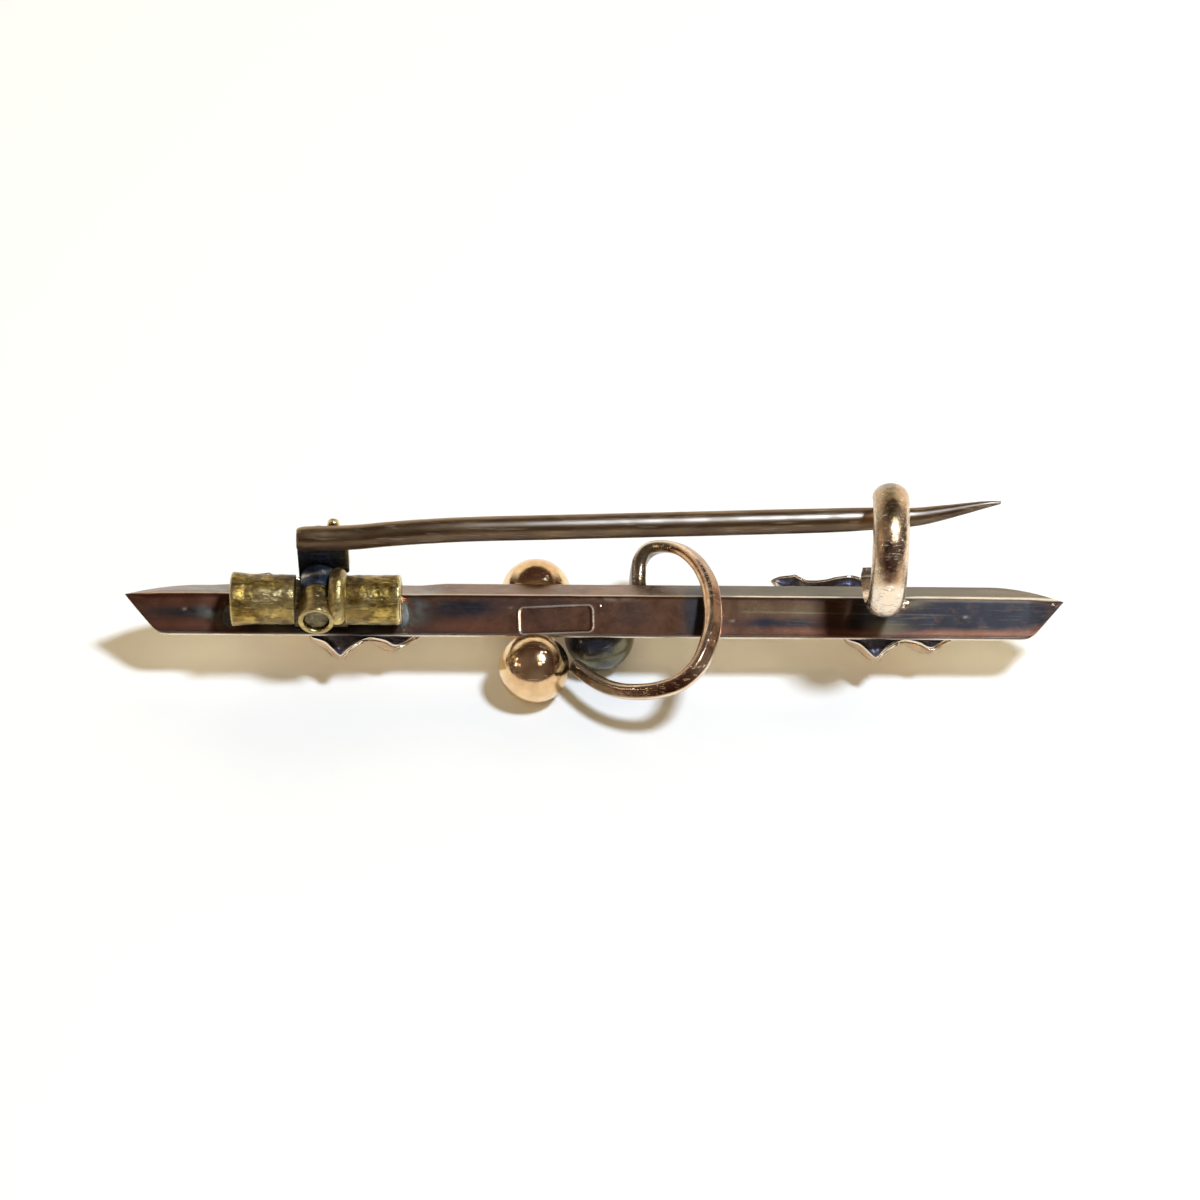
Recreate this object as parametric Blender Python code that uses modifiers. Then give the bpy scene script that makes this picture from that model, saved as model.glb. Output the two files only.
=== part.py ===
"""Bar brooch in rose gold, lying face down: metres, +Z up, +X along the bar.

The bar's ridged back faces up. Two leaves, three berries and a tendril are
soldered to its front, a C catch and a hinge to its back. The origin lies on
the table, under the middle of the whole brooch. Heights with no note are
measured from the bar's widest plane, which lies BAR_LEVEL above the table.
"""

import math

import bmesh
import bpy
from mathutils import Matrix, Vector

MM = 0.001

# Bar: a flat front, and a back of two facets that meet in a ridge.
BAR_LENGTH = 45.0 * MM
BAR_WIDTH = 3.38 * MM
RIDGE_RISE = 0.88 * MM
RIM_DEPTH = 0.16 * MM
POINT_LENGTH = 1.63 * MM
RIDGE_FALL = 0.15 * MM
RIDGE_FALL_LENGTH = 7.0 * MM

# Berries: three balls round the bar. The brooch rests on them.
BERRY_RADIUS = 1.7 * MM
BERRY_DROP = 1.34 * MM
BERRY_PAIR_X = -2.87 * MM
BERRY_PAIR_SPREAD = 5.06 * MM
BERRY_SINGLE_X = 0.24 * MM
BERRY_SINGLE_Y = -0.32 * MM

# Leaves: one pressing, used twice, set obliquely across the bar's front.
LEAF_LENGTH = 9.7 * MM
LEAF_WIDTH = 4.9 * MM
LEAF_WALL = 0.32 * MM
LEAF_FALL = 0.95 * MM
LEAF_ARCH = 0.75
LEAF_X = 12.8 * MM
LEAF_LEFT_Y = 0.62 * MM
LEAF_RIGHT_Y = 0.72 * MM
LEAF_TURN = math.radians(-31.0)
LEAF_SOLDER = 0.06 * MM

# Tendril: one turn of wire round the bar.
TENDRIL_RADIUS = 0.45 * MM
TENDRIL_X = 2.9 * MM
TENDRIL_SPAN = 3.4 * MM
TENDRIL_NEAR = 5.1 * MM
TENDRIL_FAR = 4.2 * MM
TENDRIL_RISE = 1.28 * MM

# Catch: a half-round strip bent to a C, open on the far side.
CATCH_X = 14.0 * MM
CATCH_RADIUS = 3.18 * MM
CATCH_STRIP = 1.72 * MM
CATCH_WALL = 0.7 * MM
CATCH_LIFT = 0.17 * MM
CATCH_SKEW = 0.42 * MM
CATCH_LOWER_END = math.radians(-63.5)
CATCH_UPPER_END = math.radians(32.0)
CATCH_FOOT_RADIUS = 0.85 * MM
CATCH_FOOT_RISE = 0.4 * MM
HALF_ROUND_EDGE = 0.3

# Hinge: two lengths of tube with a cross knuckle and a stop strap between.
HINGE_X = -13.18 * MM
TUBE_RADIUS = 1.2 * MM
TUBE_BORE = 0.72 * MM
TUBE_FLOOR = 0.25
TUBE_LEFT_END = -17.37 * MM
TUBE_RIGHT_END = -9.18 * MM
TUBE_Y = -0.96 * MM
HINGE_RISE = 1.61 * MM
KNUCKLE_RADIUS = 0.86 * MM
KNUCKLE_OVERHANG = 0.32 * MM
BLOCK_LEFT = 1.07 * MM
BLOCK_RIGHT = 1.38 * MM
SADDLE_REACH = 0.8
STRAP_WIDTH = 0.86 * MM
STRAP_WALL = 0.34 * MM
STRAP_SEAT = 0.7
STRAP_NEAR_END = math.radians(188.0)
STRAP_FAR_END = math.radians(24.0)
EAR_WALL = 0.42 * MM
EAR_HALF_WIDTH = 0.66 * MM
EAR_RISE = 3.75 * MM
EAR_FOOT = 0.08 * MM
FINGER_X = 0.7 * MM
FINGER_RADIUS = 0.28 * MM
FINGER_RISE = 4.26 * MM
FINGER_WALL = 0.38 * MM
RIVET_RADIUS = 0.55 * MM
RIVET_PROUD = 0.06 * MM

# Pin: a tapered wire on a flat tongue that turns on the rivet.
PIN_RADIUS = 0.59 * MM
PIN_TIP_X = 19.15 * MM
PIN_HEIGHT = 2.235 * MM
PIN_CLIMB = 2.4 * MM
PIN_DRIFT = 0.42 * MM
TONGUE_WALL = 0.5 * MM
TONGUE_LEFT = 1.0 * MM
TONGUE_RIGHT = 1.44 * MM
TONGUE_HEEL = 0.3 * MM

# Clearances
SIDE_GAP = 0.06 * MM
RUNNING_GAP = 0.06 * MM
SWING_GAP = 0.1 * MM
CUT_MARGIN = 1.0 * MM
SOLDER_LAP = 0.08 * MM

# Worked out from the sizes above
BAR_LEVEL = BERRY_RADIUS + BERRY_DROP
BAR_Y = (TENDRIL_NEAR - TENDRIL_FAR) / 2
PIN_Y = TUBE_Y + TUBE_RADIUS + SIDE_GAP + PIN_RADIUS
EAR_Y = PIN_Y + PIN_RADIUS + SIDE_GAP
CATCH_RISE = RIDGE_RISE + CATCH_LIFT + CATCH_RADIUS
KNUCKLE_NEAR_Y = TUBE_Y - TUBE_RADIUS - KNUCKLE_OVERHANG
KNUCKLE_FAR_Y = PIN_Y - TONGUE_WALL / 2 - SIDE_GAP
STRAP_X = BLOCK_RIGHT + SOLDER_LAP / 2 - STRAP_WIDTH / 2
BAR_AT_TONGUE = RIDGE_RISE * (1 - 2 * (PIN_Y - TONGUE_WALL / 2) / BAR_WIDTH)
TONGUE_FOOT = HINGE_RISE - BAR_AT_TONGUE - SWING_GAP
BAR_FRAME = Matrix.Translation((0.0, BAR_Y, BAR_LEVEL))

# Leaf sections, tip to stalk. Along is a share of LEAF_LENGTH from its middle,
# far and near are shares of half LEAF_WIDTH, and fall is a share of LEAF_FALL.
LEAF_SECTIONS = (
    # along, far, near, fall
    (-0.50, 0.03, 0.03, 1.00),
    (-0.42, 0.34, 0.30, 0.82),
    (-0.34, 0.31, 0.30, 0.60),
    (-0.24, 0.70, 0.58, 0.36),
    (-0.16, 0.96, 0.84, 0.16),
    (-0.07, 0.78, 0.62, 0.02),
    (0.01, 0.72, 0.68, 0.00),
    (0.10, 0.82, 0.78, 0.02),
    (0.20, 0.82, 0.90, 0.10),
    (0.245, 0.32, 0.30, 0.20),
    (0.31, 0.24, 0.24, 0.34),
    (0.38, 0.32, 0.26, 0.48),
    (0.44, 0.44, 0.08, 0.58),
    (0.50, 0.40, -0.16, 0.66),
)

# Tendril route, from its cut end by the near berry to its end under the bar.
# Along is a share of TENDRIL_SPAN from TENDRIL_X, out a share of TENDRIL_NEAR
# or, beyond the bar, of TENDRIL_FAR, and up a share of TENDRIL_RISE.
TENDRIL_ROUTE = (
    # along, out, up
    (-1.13, -0.46, -1.05),
    (-0.82, -0.70, -0.92),
    (-0.52, -0.86, -0.70),
    (-0.18, -0.96, -0.36),
    (0.12, -0.99, -0.06),
    (0.38, -0.96, 0.24),
    (0.61, -0.83, 0.60),
    (0.75, -0.59, 0.88),
    (0.80, -0.35, 0.98),
    (0.79, -0.03, 1.00),
    (0.73, 0.22, 1.00),
    (0.59, 0.52, 0.90),
    (0.38, 0.80, 0.62),
    (0.13, 0.96, 0.30),
    (-0.08, 1.00, -0.02),
    (-0.20, 0.90, -0.34),
    (-0.23, 0.72, -0.66),
    (-0.23, 0.54, -0.86),
    (-0.26, 0.34, -0.88),
    (-0.32, 0.12, -0.62),
)
TENDRIL_STEPS = 3

# Pin wire, root to tip. Along is a share of the way from the hinge to the tip,
# climb a share of PIN_CLIMB, and size a share of PIN_RADIUS.
PIN_ROUTE = (
    # along, climb, size
    (-0.031, 0.00, 0.86),
    (-0.012, 0.01, 1.00),
    (0.05, 0.04, 1.00),
    (0.10, 0.12, 1.00),
    (0.15, 0.19, 1.00),
    (0.23, 0.26, 1.00),
    (0.34, 0.305, 1.00),
    (0.50, 0.37, 1.00),
    (0.65, 0.435, 1.00),
    (0.75, 0.48, 0.98),
    (0.81, 0.52, 0.91),
    (0.872, 0.565, 0.76),
    (0.905, 0.645, 0.66),
    (0.94, 0.765, 0.49),
    (0.975, 0.89, 0.31),
    (1.00, 0.96, 0.12),
)


def clear_scene():
    for item in list(bpy.data.objects):
        bpy.data.objects.remove(item, do_unlink=True)


def new_collection(name, helpers=False):
    made = bpy.data.collections.new(name)
    bpy.context.scene.collection.children.link(made)
    made.hide_render = helpers
    return made


def metal(name, colour, roughness):
    made = bpy.data.materials.new(name)
    made.use_nodes = True
    shader = made.node_tree.nodes["Principled BSDF"]
    shader.inputs["Base Color"].default_value = (*colour, 1.0)
    shader.inputs["Metallic"].default_value = 1.0
    shader.inputs["Roughness"].default_value = roughness
    made.diffuse_color = (*colour, 1.0)
    return made


def add_object(name, mesh, collection, material):
    made = bpy.data.objects.new(name, mesh)
    collection.objects.link(made)
    mesh.materials.append(material)
    if collection.hide_render:
        made.hide_render = True
        made.display_type = "WIRE"
    return made


def mesh_from(bm, name):
    bmesh.ops.remove_doubles(bm, verts=bm.verts, dist=1e-7)
    bmesh.ops.recalc_face_normals(bm, faces=bm.faces)
    mesh = bpy.data.meshes.new(name)
    bm.to_mesh(mesh)
    bm.free()
    return mesh


def mesh_of_curve(curve, name):
    """The curve as a closed mesh, with its caps welded to its sides."""
    holder = bpy.data.objects.new(name, curve)
    bpy.context.scene.collection.objects.link(holder)
    graph = bpy.context.evaluated_depsgraph_get()
    mesh = bpy.data.meshes.new_from_object(holder.evaluated_get(graph))
    bpy.data.objects.remove(holder, do_unlink=True)
    bm = bmesh.new()
    bm.from_mesh(mesh)
    bpy.data.meshes.remove(mesh)
    return mesh_from(bm, name)


def outline_mesh(name, outline, thickness, place):
    """A flat outline of (x, y) points, thickened evenly and moved to its place."""
    curve = bpy.data.curves.new(name, "CURVE")
    curve.dimensions = "2D"
    curve.fill_mode = "BOTH"
    curve.extrude = thickness / 2
    spline = curve.splines.new("POLY")
    spline.points.add(len(outline) - 1)
    for point, (x, y) in zip(spline.points, outline):
        point.co = (x, y, 0.0, 1.0)
    spline.use_cyclic_u = True
    mesh = mesh_of_curve(curve, name)
    mesh.transform(place)
    return mesh


def wire_mesh(name, points, sizes, radius):
    """A round wire along the points, each with its share of the radius."""
    curve = bpy.data.curves.new(name, "CURVE")
    curve.dimensions = "3D"
    curve.bevel_depth = radius
    curve.bevel_resolution = 2
    curve.use_fill_caps = True
    spline = curve.splines.new("POLY")
    spline.points.add(len(points) - 1)
    for point, place, size in zip(spline.points, points, sizes):
        point.co = (*place, 1.0)
        point.radius = size
    mesh = mesh_of_curve(curve, name)
    mesh.shade_smooth()
    mesh.set_sharp_from_angle(angle=math.radians(40))
    return mesh


def cylinder_mesh(name, radius, start, end, sides=24):
    """A cylinder between two points."""
    start, end = Vector(start), Vector(end)
    turn = (end - start).to_track_quat("Z", "Y").to_matrix().to_4x4()
    bm = bmesh.new()
    bmesh.ops.create_cone(
        bm, cap_ends=True, segments=sides, radius1=radius, radius2=radius,
        depth=(end - start).length, matrix=Matrix.Translation((start + end) / 2) @ turn,
    )
    return mesh_from(bm, name)


def box_mesh(name, low, high):
    low, high = Vector(low), Vector(high)
    bm = bmesh.new()
    bmesh.ops.create_cube(
        bm, size=1.0,
        matrix=Matrix.Translation((low + high) / 2) @ Matrix.Diagonal((*(high - low), 1.0)),
    )
    return mesh_from(bm, name)


def arc_strip_mesh(name, profile, centre, start, end, steps, skew=0.0):
    """A closed profile of (x, r) points carried round an axis along X through centre.

    The angle is measured from +Y towards +Z, and skew moves the end of the
    strip along -X.
    """
    bm = bmesh.new()
    rings = []
    for step in range(steps + 1):
        angle = start + (end - start) * step / steps
        out = Vector((0.0, math.cos(angle), math.sin(angle)))
        rings.append([
            bm.verts.new(Vector(centre) + Vector((x - skew * step / steps, 0.0, 0.0)) + out * r)
            for x, r in profile
        ])
    for ring, following in zip(rings, rings[1:]):
        for i in range(len(profile)):
            j = (i + 1) % len(profile)
            bm.faces.new((ring[i], ring[j], following[j], following[i]))
    bm.faces.new(rings[0])
    bm.faces.new(rings[-1])
    return mesh_from(bm, name)


def half_round(width, wall, inner, steps=8):
    """Profile (x, r) of a half-round strip, flat towards the axis."""
    edge = wall * HALF_ROUND_EDGE
    arc = [
        (
            -width / 2 * math.cos(math.pi * i / steps),
            inner + edge + (wall - edge) * math.sin(math.pi * i / steps),
        )
        for i in range(steps + 1)
    ]
    return [(-width / 2, inner), *arc, (width / 2, inner)]


def smooth_route(points, steps):
    """Points along a Catmull-Rom curve through the given points."""
    ends = [points[0] * 2 - points[1], *points, points[-1] * 2 - points[-2]]
    route = []
    for before, a, b, after in zip(ends, ends[1:], ends[2:], ends[3:]):
        for step in range(steps):
            t = step / steps
            route.append(0.5 * (
                2 * a + (b - before) * t
                + (2 * before - 5 * a + 4 * b - after) * t * t
                + (3 * a - before - 3 * b + after) * t * t * t
            ))
    return [*route, points[-1]]


def bar_mesh():
    """The bar: its ridge runs level and falls a little to the two points."""
    half = BAR_WIDTH / 2
    tip = BAR_LENGTH / 2
    shoulder = tip - POINT_LENGTH
    crest = tip - RIDGE_FALL_LENGTH
    bm = bmesh.new()
    ends = []
    for side in (-1, 1):
        ends.append({
            "near": bm.verts.new((side * shoulder, -half, 0.0)),
            "near_foot": bm.verts.new((side * shoulder, -half, -RIM_DEPTH)),
            "far": bm.verts.new((side * shoulder, half, 0.0)),
            "far_foot": bm.verts.new((side * shoulder, half, -RIM_DEPTH)),
            "tip": bm.verts.new((side * tip, 0.0, RIDGE_RISE - RIDGE_FALL)),
            "tip_foot": bm.verts.new((side * tip, 0.0, -RIM_DEPTH)),
            "crest": bm.verts.new((side * crest, 0.0, RIDGE_RISE)),
        })
    left, right = ends
    for edge in ("near", "far"):
        foot = edge + "_foot"
        bm.faces.new((left[edge], left["crest"], right["crest"], right[edge]))
        bm.faces.new((left[edge], left[foot], right[foot], right[edge]))
        for end in ends:
            bm.faces.new((end[edge], end["tip"], end["crest"]))
            bm.faces.new((end[edge], end[foot], end["tip_foot"], end["tip"]))
    bm.faces.new([
        left["near_foot"], left["tip_foot"], left["far_foot"],
        right["far_foot"], right["tip_foot"], right["near_foot"],
    ])
    return mesh_from(bm, "bar")


def berry_mesh(x, y):
    bm = bmesh.new()
    bmesh.ops.create_uvsphere(
        bm, u_segments=16, v_segments=12, radius=BERRY_RADIUS,
        matrix=Matrix.Translation((x, y, -BERRY_DROP)),
    )
    mesh = mesh_from(bm, "berry")
    mesh.shade_smooth()
    return mesh


def leaf_section(along):
    """Far width, near width and fall at a place along the leaf, eased between rows."""
    for low, high in zip(LEAF_SECTIONS, LEAF_SECTIONS[1:]):
        if along <= high[0]:
            t = (along - low[0]) / (high[0] - low[0])
            ease = t * t * (3 - 2 * t)
            return [a + (b - a) * ease for a, b in zip(low[1:], high[1:])]
    return LEAF_SECTIONS[-1][1:]


def leaf_mesh(x, y, rows=30, columns=8):
    """The leaf's back as an open surface that falls from the bar towards its lobes."""
    place = (
        Matrix.Translation((x, y, -RIM_DEPTH + LEAF_SOLDER))
        @ Matrix.Rotation(LEAF_TURN, 4, "Z")
    )
    bm = bmesh.new()
    grid = []
    for row in range(rows + 1):
        along = LEAF_SECTIONS[0][0] + row / rows
        far, near, fall = leaf_section(along)
        line = []
        for column in range(columns + 1):
            across = 2 * column / columns - 1
            share = across * (far if across > 0 else near)
            droop = min(1.0, fall + LEAF_ARCH * share * share)
            line.append(bm.verts.new(
                (along * LEAF_LENGTH, share * LEAF_WIDTH / 2, -droop * LEAF_FALL)
            ))
        grid.append(line)
    for line, following in zip(grid, grid[1:]):
        for i in range(columns):
            bm.faces.new((line[i], following[i], following[i + 1], line[i + 1]))
    mesh = bpy.data.meshes.new("leaf")
    bm.to_mesh(mesh)
    bm.free()
    mesh.transform(place)
    mesh.shade_smooth()
    return mesh


def give_wall(obj, thickness):
    """Thickens an open surface away from its faces' front."""
    wall = obj.modifiers.new("wall", "SOLIDIFY")
    wall.thickness = thickness
    wall.offset = -1.0


def tendril_mesh():
    points = [
        Vector((
            TENDRIL_X + along * TENDRIL_SPAN,
            out * (TENDRIL_NEAR if out < 0 else TENDRIL_FAR),
            up * TENDRIL_RISE,
        ))
        for along, out, up in TENDRIL_ROUTE
    ]
    route = smooth_route(points, TENDRIL_STEPS)
    return wire_mesh("tendril", route, [1.0] * len(route), TENDRIL_RADIUS)


def catch_meshes():
    inner = CATCH_RADIUS - CATCH_WALL
    foot_x = CATCH_X - CATCH_SKEW / 2
    strip = arc_strip_mesh(
        "catch", half_round(CATCH_STRIP, CATCH_WALL, inner),
        (CATCH_X, 0.0, CATCH_RISE), CATCH_UPPER_END, CATCH_LOWER_END + 2 * math.pi, 32,
        skew=CATCH_SKEW,
    )
    foot = cylinder_mesh(
        "catch_foot", CATCH_FOOT_RADIUS, (foot_x, 0.0, 0.0),
        (foot_x, 0.0, RIDGE_RISE + CATCH_FOOT_RISE),
    )
    return [strip, foot]


def tube_mesh(name, end, block_side):
    """A length of hinge tube, open at its outer end."""
    bm = bmesh.new()
    floor = block_side + (end - block_side) * TUBE_FLOOR
    rings = []
    for x, radius in (
        (block_side, TUBE_RADIUS), (end, TUBE_RADIUS), (end, TUBE_BORE), (floor, TUBE_BORE),
    ):
        rings.append([
            bm.verts.new((
                x, TUBE_Y + radius * math.cos(a), HINGE_RISE + radius * math.sin(a),
            ))
            for a in (2 * math.pi * i / 24 for i in range(24))
        ])
    for ring, following in zip(rings, rings[1:]):
        for i in range(24):
            j = (i + 1) % 24
            bm.faces.new((ring[i], ring[j], following[j], following[i]))
    bm.faces.new(rings[0])
    bm.faces.new(rings[-1])
    return mesh_from(bm, name)


def rounded_post(half_width, rise, foot, steps=10):
    """Outline (x, z) of an upright with a half-round top."""
    arc = [
        (
            half_width * math.cos(math.pi * i / steps),
            rise - half_width + half_width * math.sin(math.pi * i / steps),
        )
        for i in range(steps + 1)
    ]
    return [(half_width, foot), *arc, (-half_width, foot)]


def upright(y_near, y_far, x=0.0):
    """Place of a flat outline that stands in the XZ plane between two depths."""
    return (
        Matrix.Translation((HINGE_X + x, (y_near + y_far) / 2, 0.0))
        @ Matrix.Rotation(math.pi / 2, 4, "X")
    )


def hinge_meshes():
    block_left = HINGE_X - BLOCK_LEFT
    block_right = HINGE_X + BLOCK_RIGHT
    left_tube = tube_mesh("tube_left", TUBE_LEFT_END, block_left)
    right_tube = tube_mesh("tube_right", TUBE_RIGHT_END, block_right)
    saddle = box_mesh(
        "saddle",
        (block_left - SOLDER_LAP, TUBE_Y - TUBE_RADIUS * SADDLE_REACH, 0.0),
        (block_right + SOLDER_LAP, KNUCKLE_FAR_Y - SOLDER_LAP, HINGE_RISE - SOLDER_LAP),
    )
    knuckle = cylinder_mesh(
        "knuckle", KNUCKLE_RADIUS,
        (HINGE_X, KNUCKLE_NEAR_Y, HINGE_RISE), (HINGE_X, KNUCKLE_FAR_Y, HINGE_RISE),
    )
    seat = TUBE_RADIUS * STRAP_SEAT
    strap = arc_strip_mesh(
        "stop_strap", half_round(STRAP_WIDTH, TUBE_RADIUS + STRAP_WALL - seat, seat),
        (HINGE_X + STRAP_X, TUBE_Y, HINGE_RISE), STRAP_FAR_END, STRAP_NEAR_END, 14,
    )
    ear_place = upright(EAR_Y, EAR_Y + EAR_WALL)
    ear = outline_mesh(
        "ear", rounded_post(EAR_HALF_WIDTH, EAR_RISE, -EAR_FOOT), EAR_WALL, ear_place,
    )
    finger = outline_mesh(
        "ear_finger", rounded_post(FINGER_RADIUS, FINGER_RISE, -EAR_FOOT / 2), FINGER_WALL,
        upright(EAR_Y, EAR_Y + EAR_WALL, FINGER_X),
    )
    return [left_tube, right_tube, saddle, knuckle, strap, ear, finger]


def pin_path():
    reach = PIN_TIP_X - HINGE_X
    return [
        Vector((
            HINGE_X + along * reach,
            PIN_Y + PIN_DRIFT * along,
            HINGE_RISE + PIN_HEIGHT + climb * PIN_CLIMB,
        ))
        for along, climb, size in PIN_ROUTE
    ]


def tongue_outline(steps=12):
    """Outline (x, z) round the rivet, with z from the hinge axis.

    Its foot is round, so that it clears the bar as the pin opens.
    """
    arc = [
        (
            TONGUE_FOOT * math.cos(math.pi + math.pi * i / steps),
            TONGUE_FOOT * math.sin(math.pi + math.pi * i / steps),
        )
        for i in range(steps + 1)
    ]
    return [
        (-TONGUE_LEFT, PIN_HEIGHT),
        *arc,
        (TONGUE_RIGHT, TONGUE_HEEL),
        (TONGUE_RIGHT, PIN_HEIGHT),
    ]


def union(target, piece):
    joined = target.modifiers.new(piece.name, "BOOLEAN")
    joined.operation = "UNION"
    joined.solver = "EXACT"
    joined.material_mode = "TRANSFER"
    joined.object = piece


def cut(target, cutter):
    bored = target.modifiers.new(cutter.name, "BOOLEAN")
    bored.operation = "DIFFERENCE"
    bored.solver = "EXACT"
    bored.object = cutter


def main():
    clear_scene()
    brooch = new_collection("bar_brooch")
    pieces = new_collection("soldered_pieces", helpers=True)
    cutters = new_collection("cutters", helpers=True)

    rose_gold = metal("rose_gold_tarnished", (0.30, 0.17, 0.13), 0.38)
    bright_gold = metal("rose_gold_polished", (0.80, 0.46, 0.27), 0.16)
    brass = metal("brass_worn", (0.52, 0.34, 0.09), 0.34)
    bronze = metal("bronze_dark", (0.16, 0.10, 0.07), 0.36)
    steel = metal("steel_grey", (0.14, 0.13, 0.10), 0.42)

    frame = add_object("brooch_frame", bar_mesh(), brooch, rose_gold)
    soldered = [
        *((mesh, bright_gold) for mesh in (
            berry_mesh(BERRY_PAIR_X, BERRY_PAIR_SPREAD / 2),
            berry_mesh(BERRY_PAIR_X, -BERRY_PAIR_SPREAD / 2),
            berry_mesh(BERRY_SINGLE_X, BERRY_SINGLE_Y),
            tendril_mesh(),
            *catch_meshes(),
        )),
        *((mesh, brass) for mesh in hinge_meshes()),
    ]
    for mesh, material in soldered:
        union(frame, add_object(mesh.name, mesh, pieces, material))
    for x, y in ((-LEAF_X, LEAF_LEFT_Y), (LEAF_X, LEAF_RIGHT_Y)):
        leaf = add_object("leaf", leaf_mesh(x, y), pieces, bright_gold)
        give_wall(leaf, LEAF_WALL)
        union(frame, leaf)

    far_face = EAR_Y + EAR_WALL
    bore = cylinder_mesh(
        "rivet_bore", RIVET_RADIUS + RUNNING_GAP,
        (HINGE_X, KNUCKLE_NEAR_Y - CUT_MARGIN, HINGE_RISE),
        (HINGE_X, far_face + CUT_MARGIN, HINGE_RISE),
    )
    bore_object = add_object("rivet_bore", bore, cutters, steel)
    cut(frame, bore_object)
    frame.location = BAR_FRAME.translation

    axis = bpy.data.objects.new("pin_axis", None)
    axis.location = BAR_FRAME @ Vector((HINGE_X, 0.0, HINGE_RISE))
    brooch.objects.link(axis)

    rivet_mesh = cylinder_mesh(
        "hinge_rivet", RIVET_RADIUS,
        (HINGE_X, KNUCKLE_NEAR_Y - RIVET_PROUD, HINGE_RISE),
        (HINGE_X, far_face + RIVET_PROUD, HINGE_RISE),
    )
    rivet = add_object("hinge_rivet", rivet_mesh, brooch, steel)
    rivet.location = BAR_FRAME.translation

    to_axis = Matrix.Translation((-HINGE_X, 0.0, -HINGE_RISE))
    pin_mesh = wire_mesh(
        "pin", pin_path(), [row[2] for row in PIN_ROUTE], PIN_RADIUS,
    )
    pin_mesh.transform(to_axis)
    pin = add_object("pin", pin_mesh, brooch, bronze)
    pin.parent = axis
    tongue_mesh = outline_mesh(
        "pin_tongue", tongue_outline(), TONGUE_WALL,
        Matrix.Translation((0.0, PIN_Y, 0.0)) @ Matrix.Rotation(math.pi / 2, 4, "X"),
    )
    tongue = add_object("pin_tongue", tongue_mesh, pieces, bronze)
    eye_mesh = cylinder_mesh(
        "pin_eye", RIVET_RADIUS + RUNNING_GAP,
        (0.0, PIN_Y - CUT_MARGIN, 0.0), (0.0, PIN_Y + CUT_MARGIN, 0.0),
    )
    eye = add_object("pin_eye", eye_mesh, cutters, steel)
    for helper in (tongue, eye):
        helper.parent = axis
    union(pin, tongue)
    cut(pin, eye)
    for helper in (*pieces.objects, bore_object):
        if helper.parent is None:
            helper.location = BAR_FRAME.translation


main()
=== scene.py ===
"""Looks of the bar brooch: an antique rose gold brooch that lies on its front.

Sizes are in millimetres in the bar's own frame, whose origin is in the middle
of the bar's widest plane. settle() puts each finished mesh in its place above
the table. Rows of stains and routes give their columns in their first comment.
"""
import math

import bmesh
import bpy
import numpy as np
from mathutils import Matrix, Vector, noise


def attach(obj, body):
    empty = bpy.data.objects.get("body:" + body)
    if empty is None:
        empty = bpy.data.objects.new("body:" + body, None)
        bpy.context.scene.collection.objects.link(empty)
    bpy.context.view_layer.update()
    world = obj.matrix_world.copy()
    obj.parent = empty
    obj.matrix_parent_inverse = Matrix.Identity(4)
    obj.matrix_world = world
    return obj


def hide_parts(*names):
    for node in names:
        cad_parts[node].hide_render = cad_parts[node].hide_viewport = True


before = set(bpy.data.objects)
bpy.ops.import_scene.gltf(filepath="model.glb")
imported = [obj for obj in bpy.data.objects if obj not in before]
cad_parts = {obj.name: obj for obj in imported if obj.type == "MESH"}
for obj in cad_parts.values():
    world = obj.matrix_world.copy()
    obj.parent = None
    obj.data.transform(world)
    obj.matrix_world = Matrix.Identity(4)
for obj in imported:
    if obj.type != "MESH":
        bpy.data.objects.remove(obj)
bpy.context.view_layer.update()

MM = 0.001

# Place of the bar's widest plane above the table, as in the CAD source
BAR_LEVEL = 3.04
BAR_Y = 0.45

# Bar
BAR_HALF = 22.5
BAR_HALF_WIDTH = 1.69
RIDGE_RISE = 0.88
RIDGE_SHIFT = 0.13
FAR_EDGE_RISE = 0.13
RIM_DEPTH = 0.16
POINT_LENGTH = 1.63
FAR_POINT_LENGTH = 2.1
POINT_ROUND_NEAR = 0.30
POINT_ROUND_FAR = 0.70
RIDGE_FALL = 0.05
RIDGE_FALL_LENGTH = 5.0
LEFT_RIDGE_RISE = 0.12
UNDERCUT = 0.55
UNDERCUT_REACH = 1.3 * POINT_LENGTH
EDGE_ROUND = 0.07
RIDGE_ROUND = 0.15
FOOT_INSET = 0.05
# Spans along the bar over which a form sets in: the blunter ridge at the left, and
# the far edge's rise beside the hinge and its dip beyond the left tube
BLUNT_SPAN = (-16.5, -19.0)
FAR_RISE_SPAN = (-8.6, -7.0)
FAR_DIP_SPAN = (-17.6, -18.6)
FAR_DIP = 0.06
# Points on each side of the bar's section, and on each rounded corner
SECTION_SIDES = (4, 3, 40, 24, 3, 4)
SECTION_CORNER = 6
# Steps along the bar: plain, at its points and at the stamped frame
BAR_STEP = 0.15
POINT_STEP = 0.06
STAMP_STEP = 0.045
# Unevenness of the filed facets: long waves and short ones
FILED_WAVE = 0.010
FILED_GRAIN = 0.006

# Stamped frame on the bar's near facet, left bare inside
STAMP_CENTRE = (-1.86, -0.95)
STAMP_HALF = (1.74, 0.58)
STAMP_SLANT = 0.045
STAMP_CORNER = 0.22
STAMP_DEPTH = 0.014
STAMP_LIP = 0.010
STAMP_EDGE = 0.05

# Nicks in the bar: place, radius and depth
NICKS = (
    # x, y, radius, depth
    (-3.95, -0.42, 0.060, 0.025),
    (0.35, -0.30, 0.060, 0.025),
    (22.05, -0.12, 0.060, 0.040),
    (17.80, -0.70, 0.070, 0.020),
    (6.60, -0.95, 0.060, 0.025),
    (-19.60, -0.60, 0.070, 0.030),
)

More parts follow.
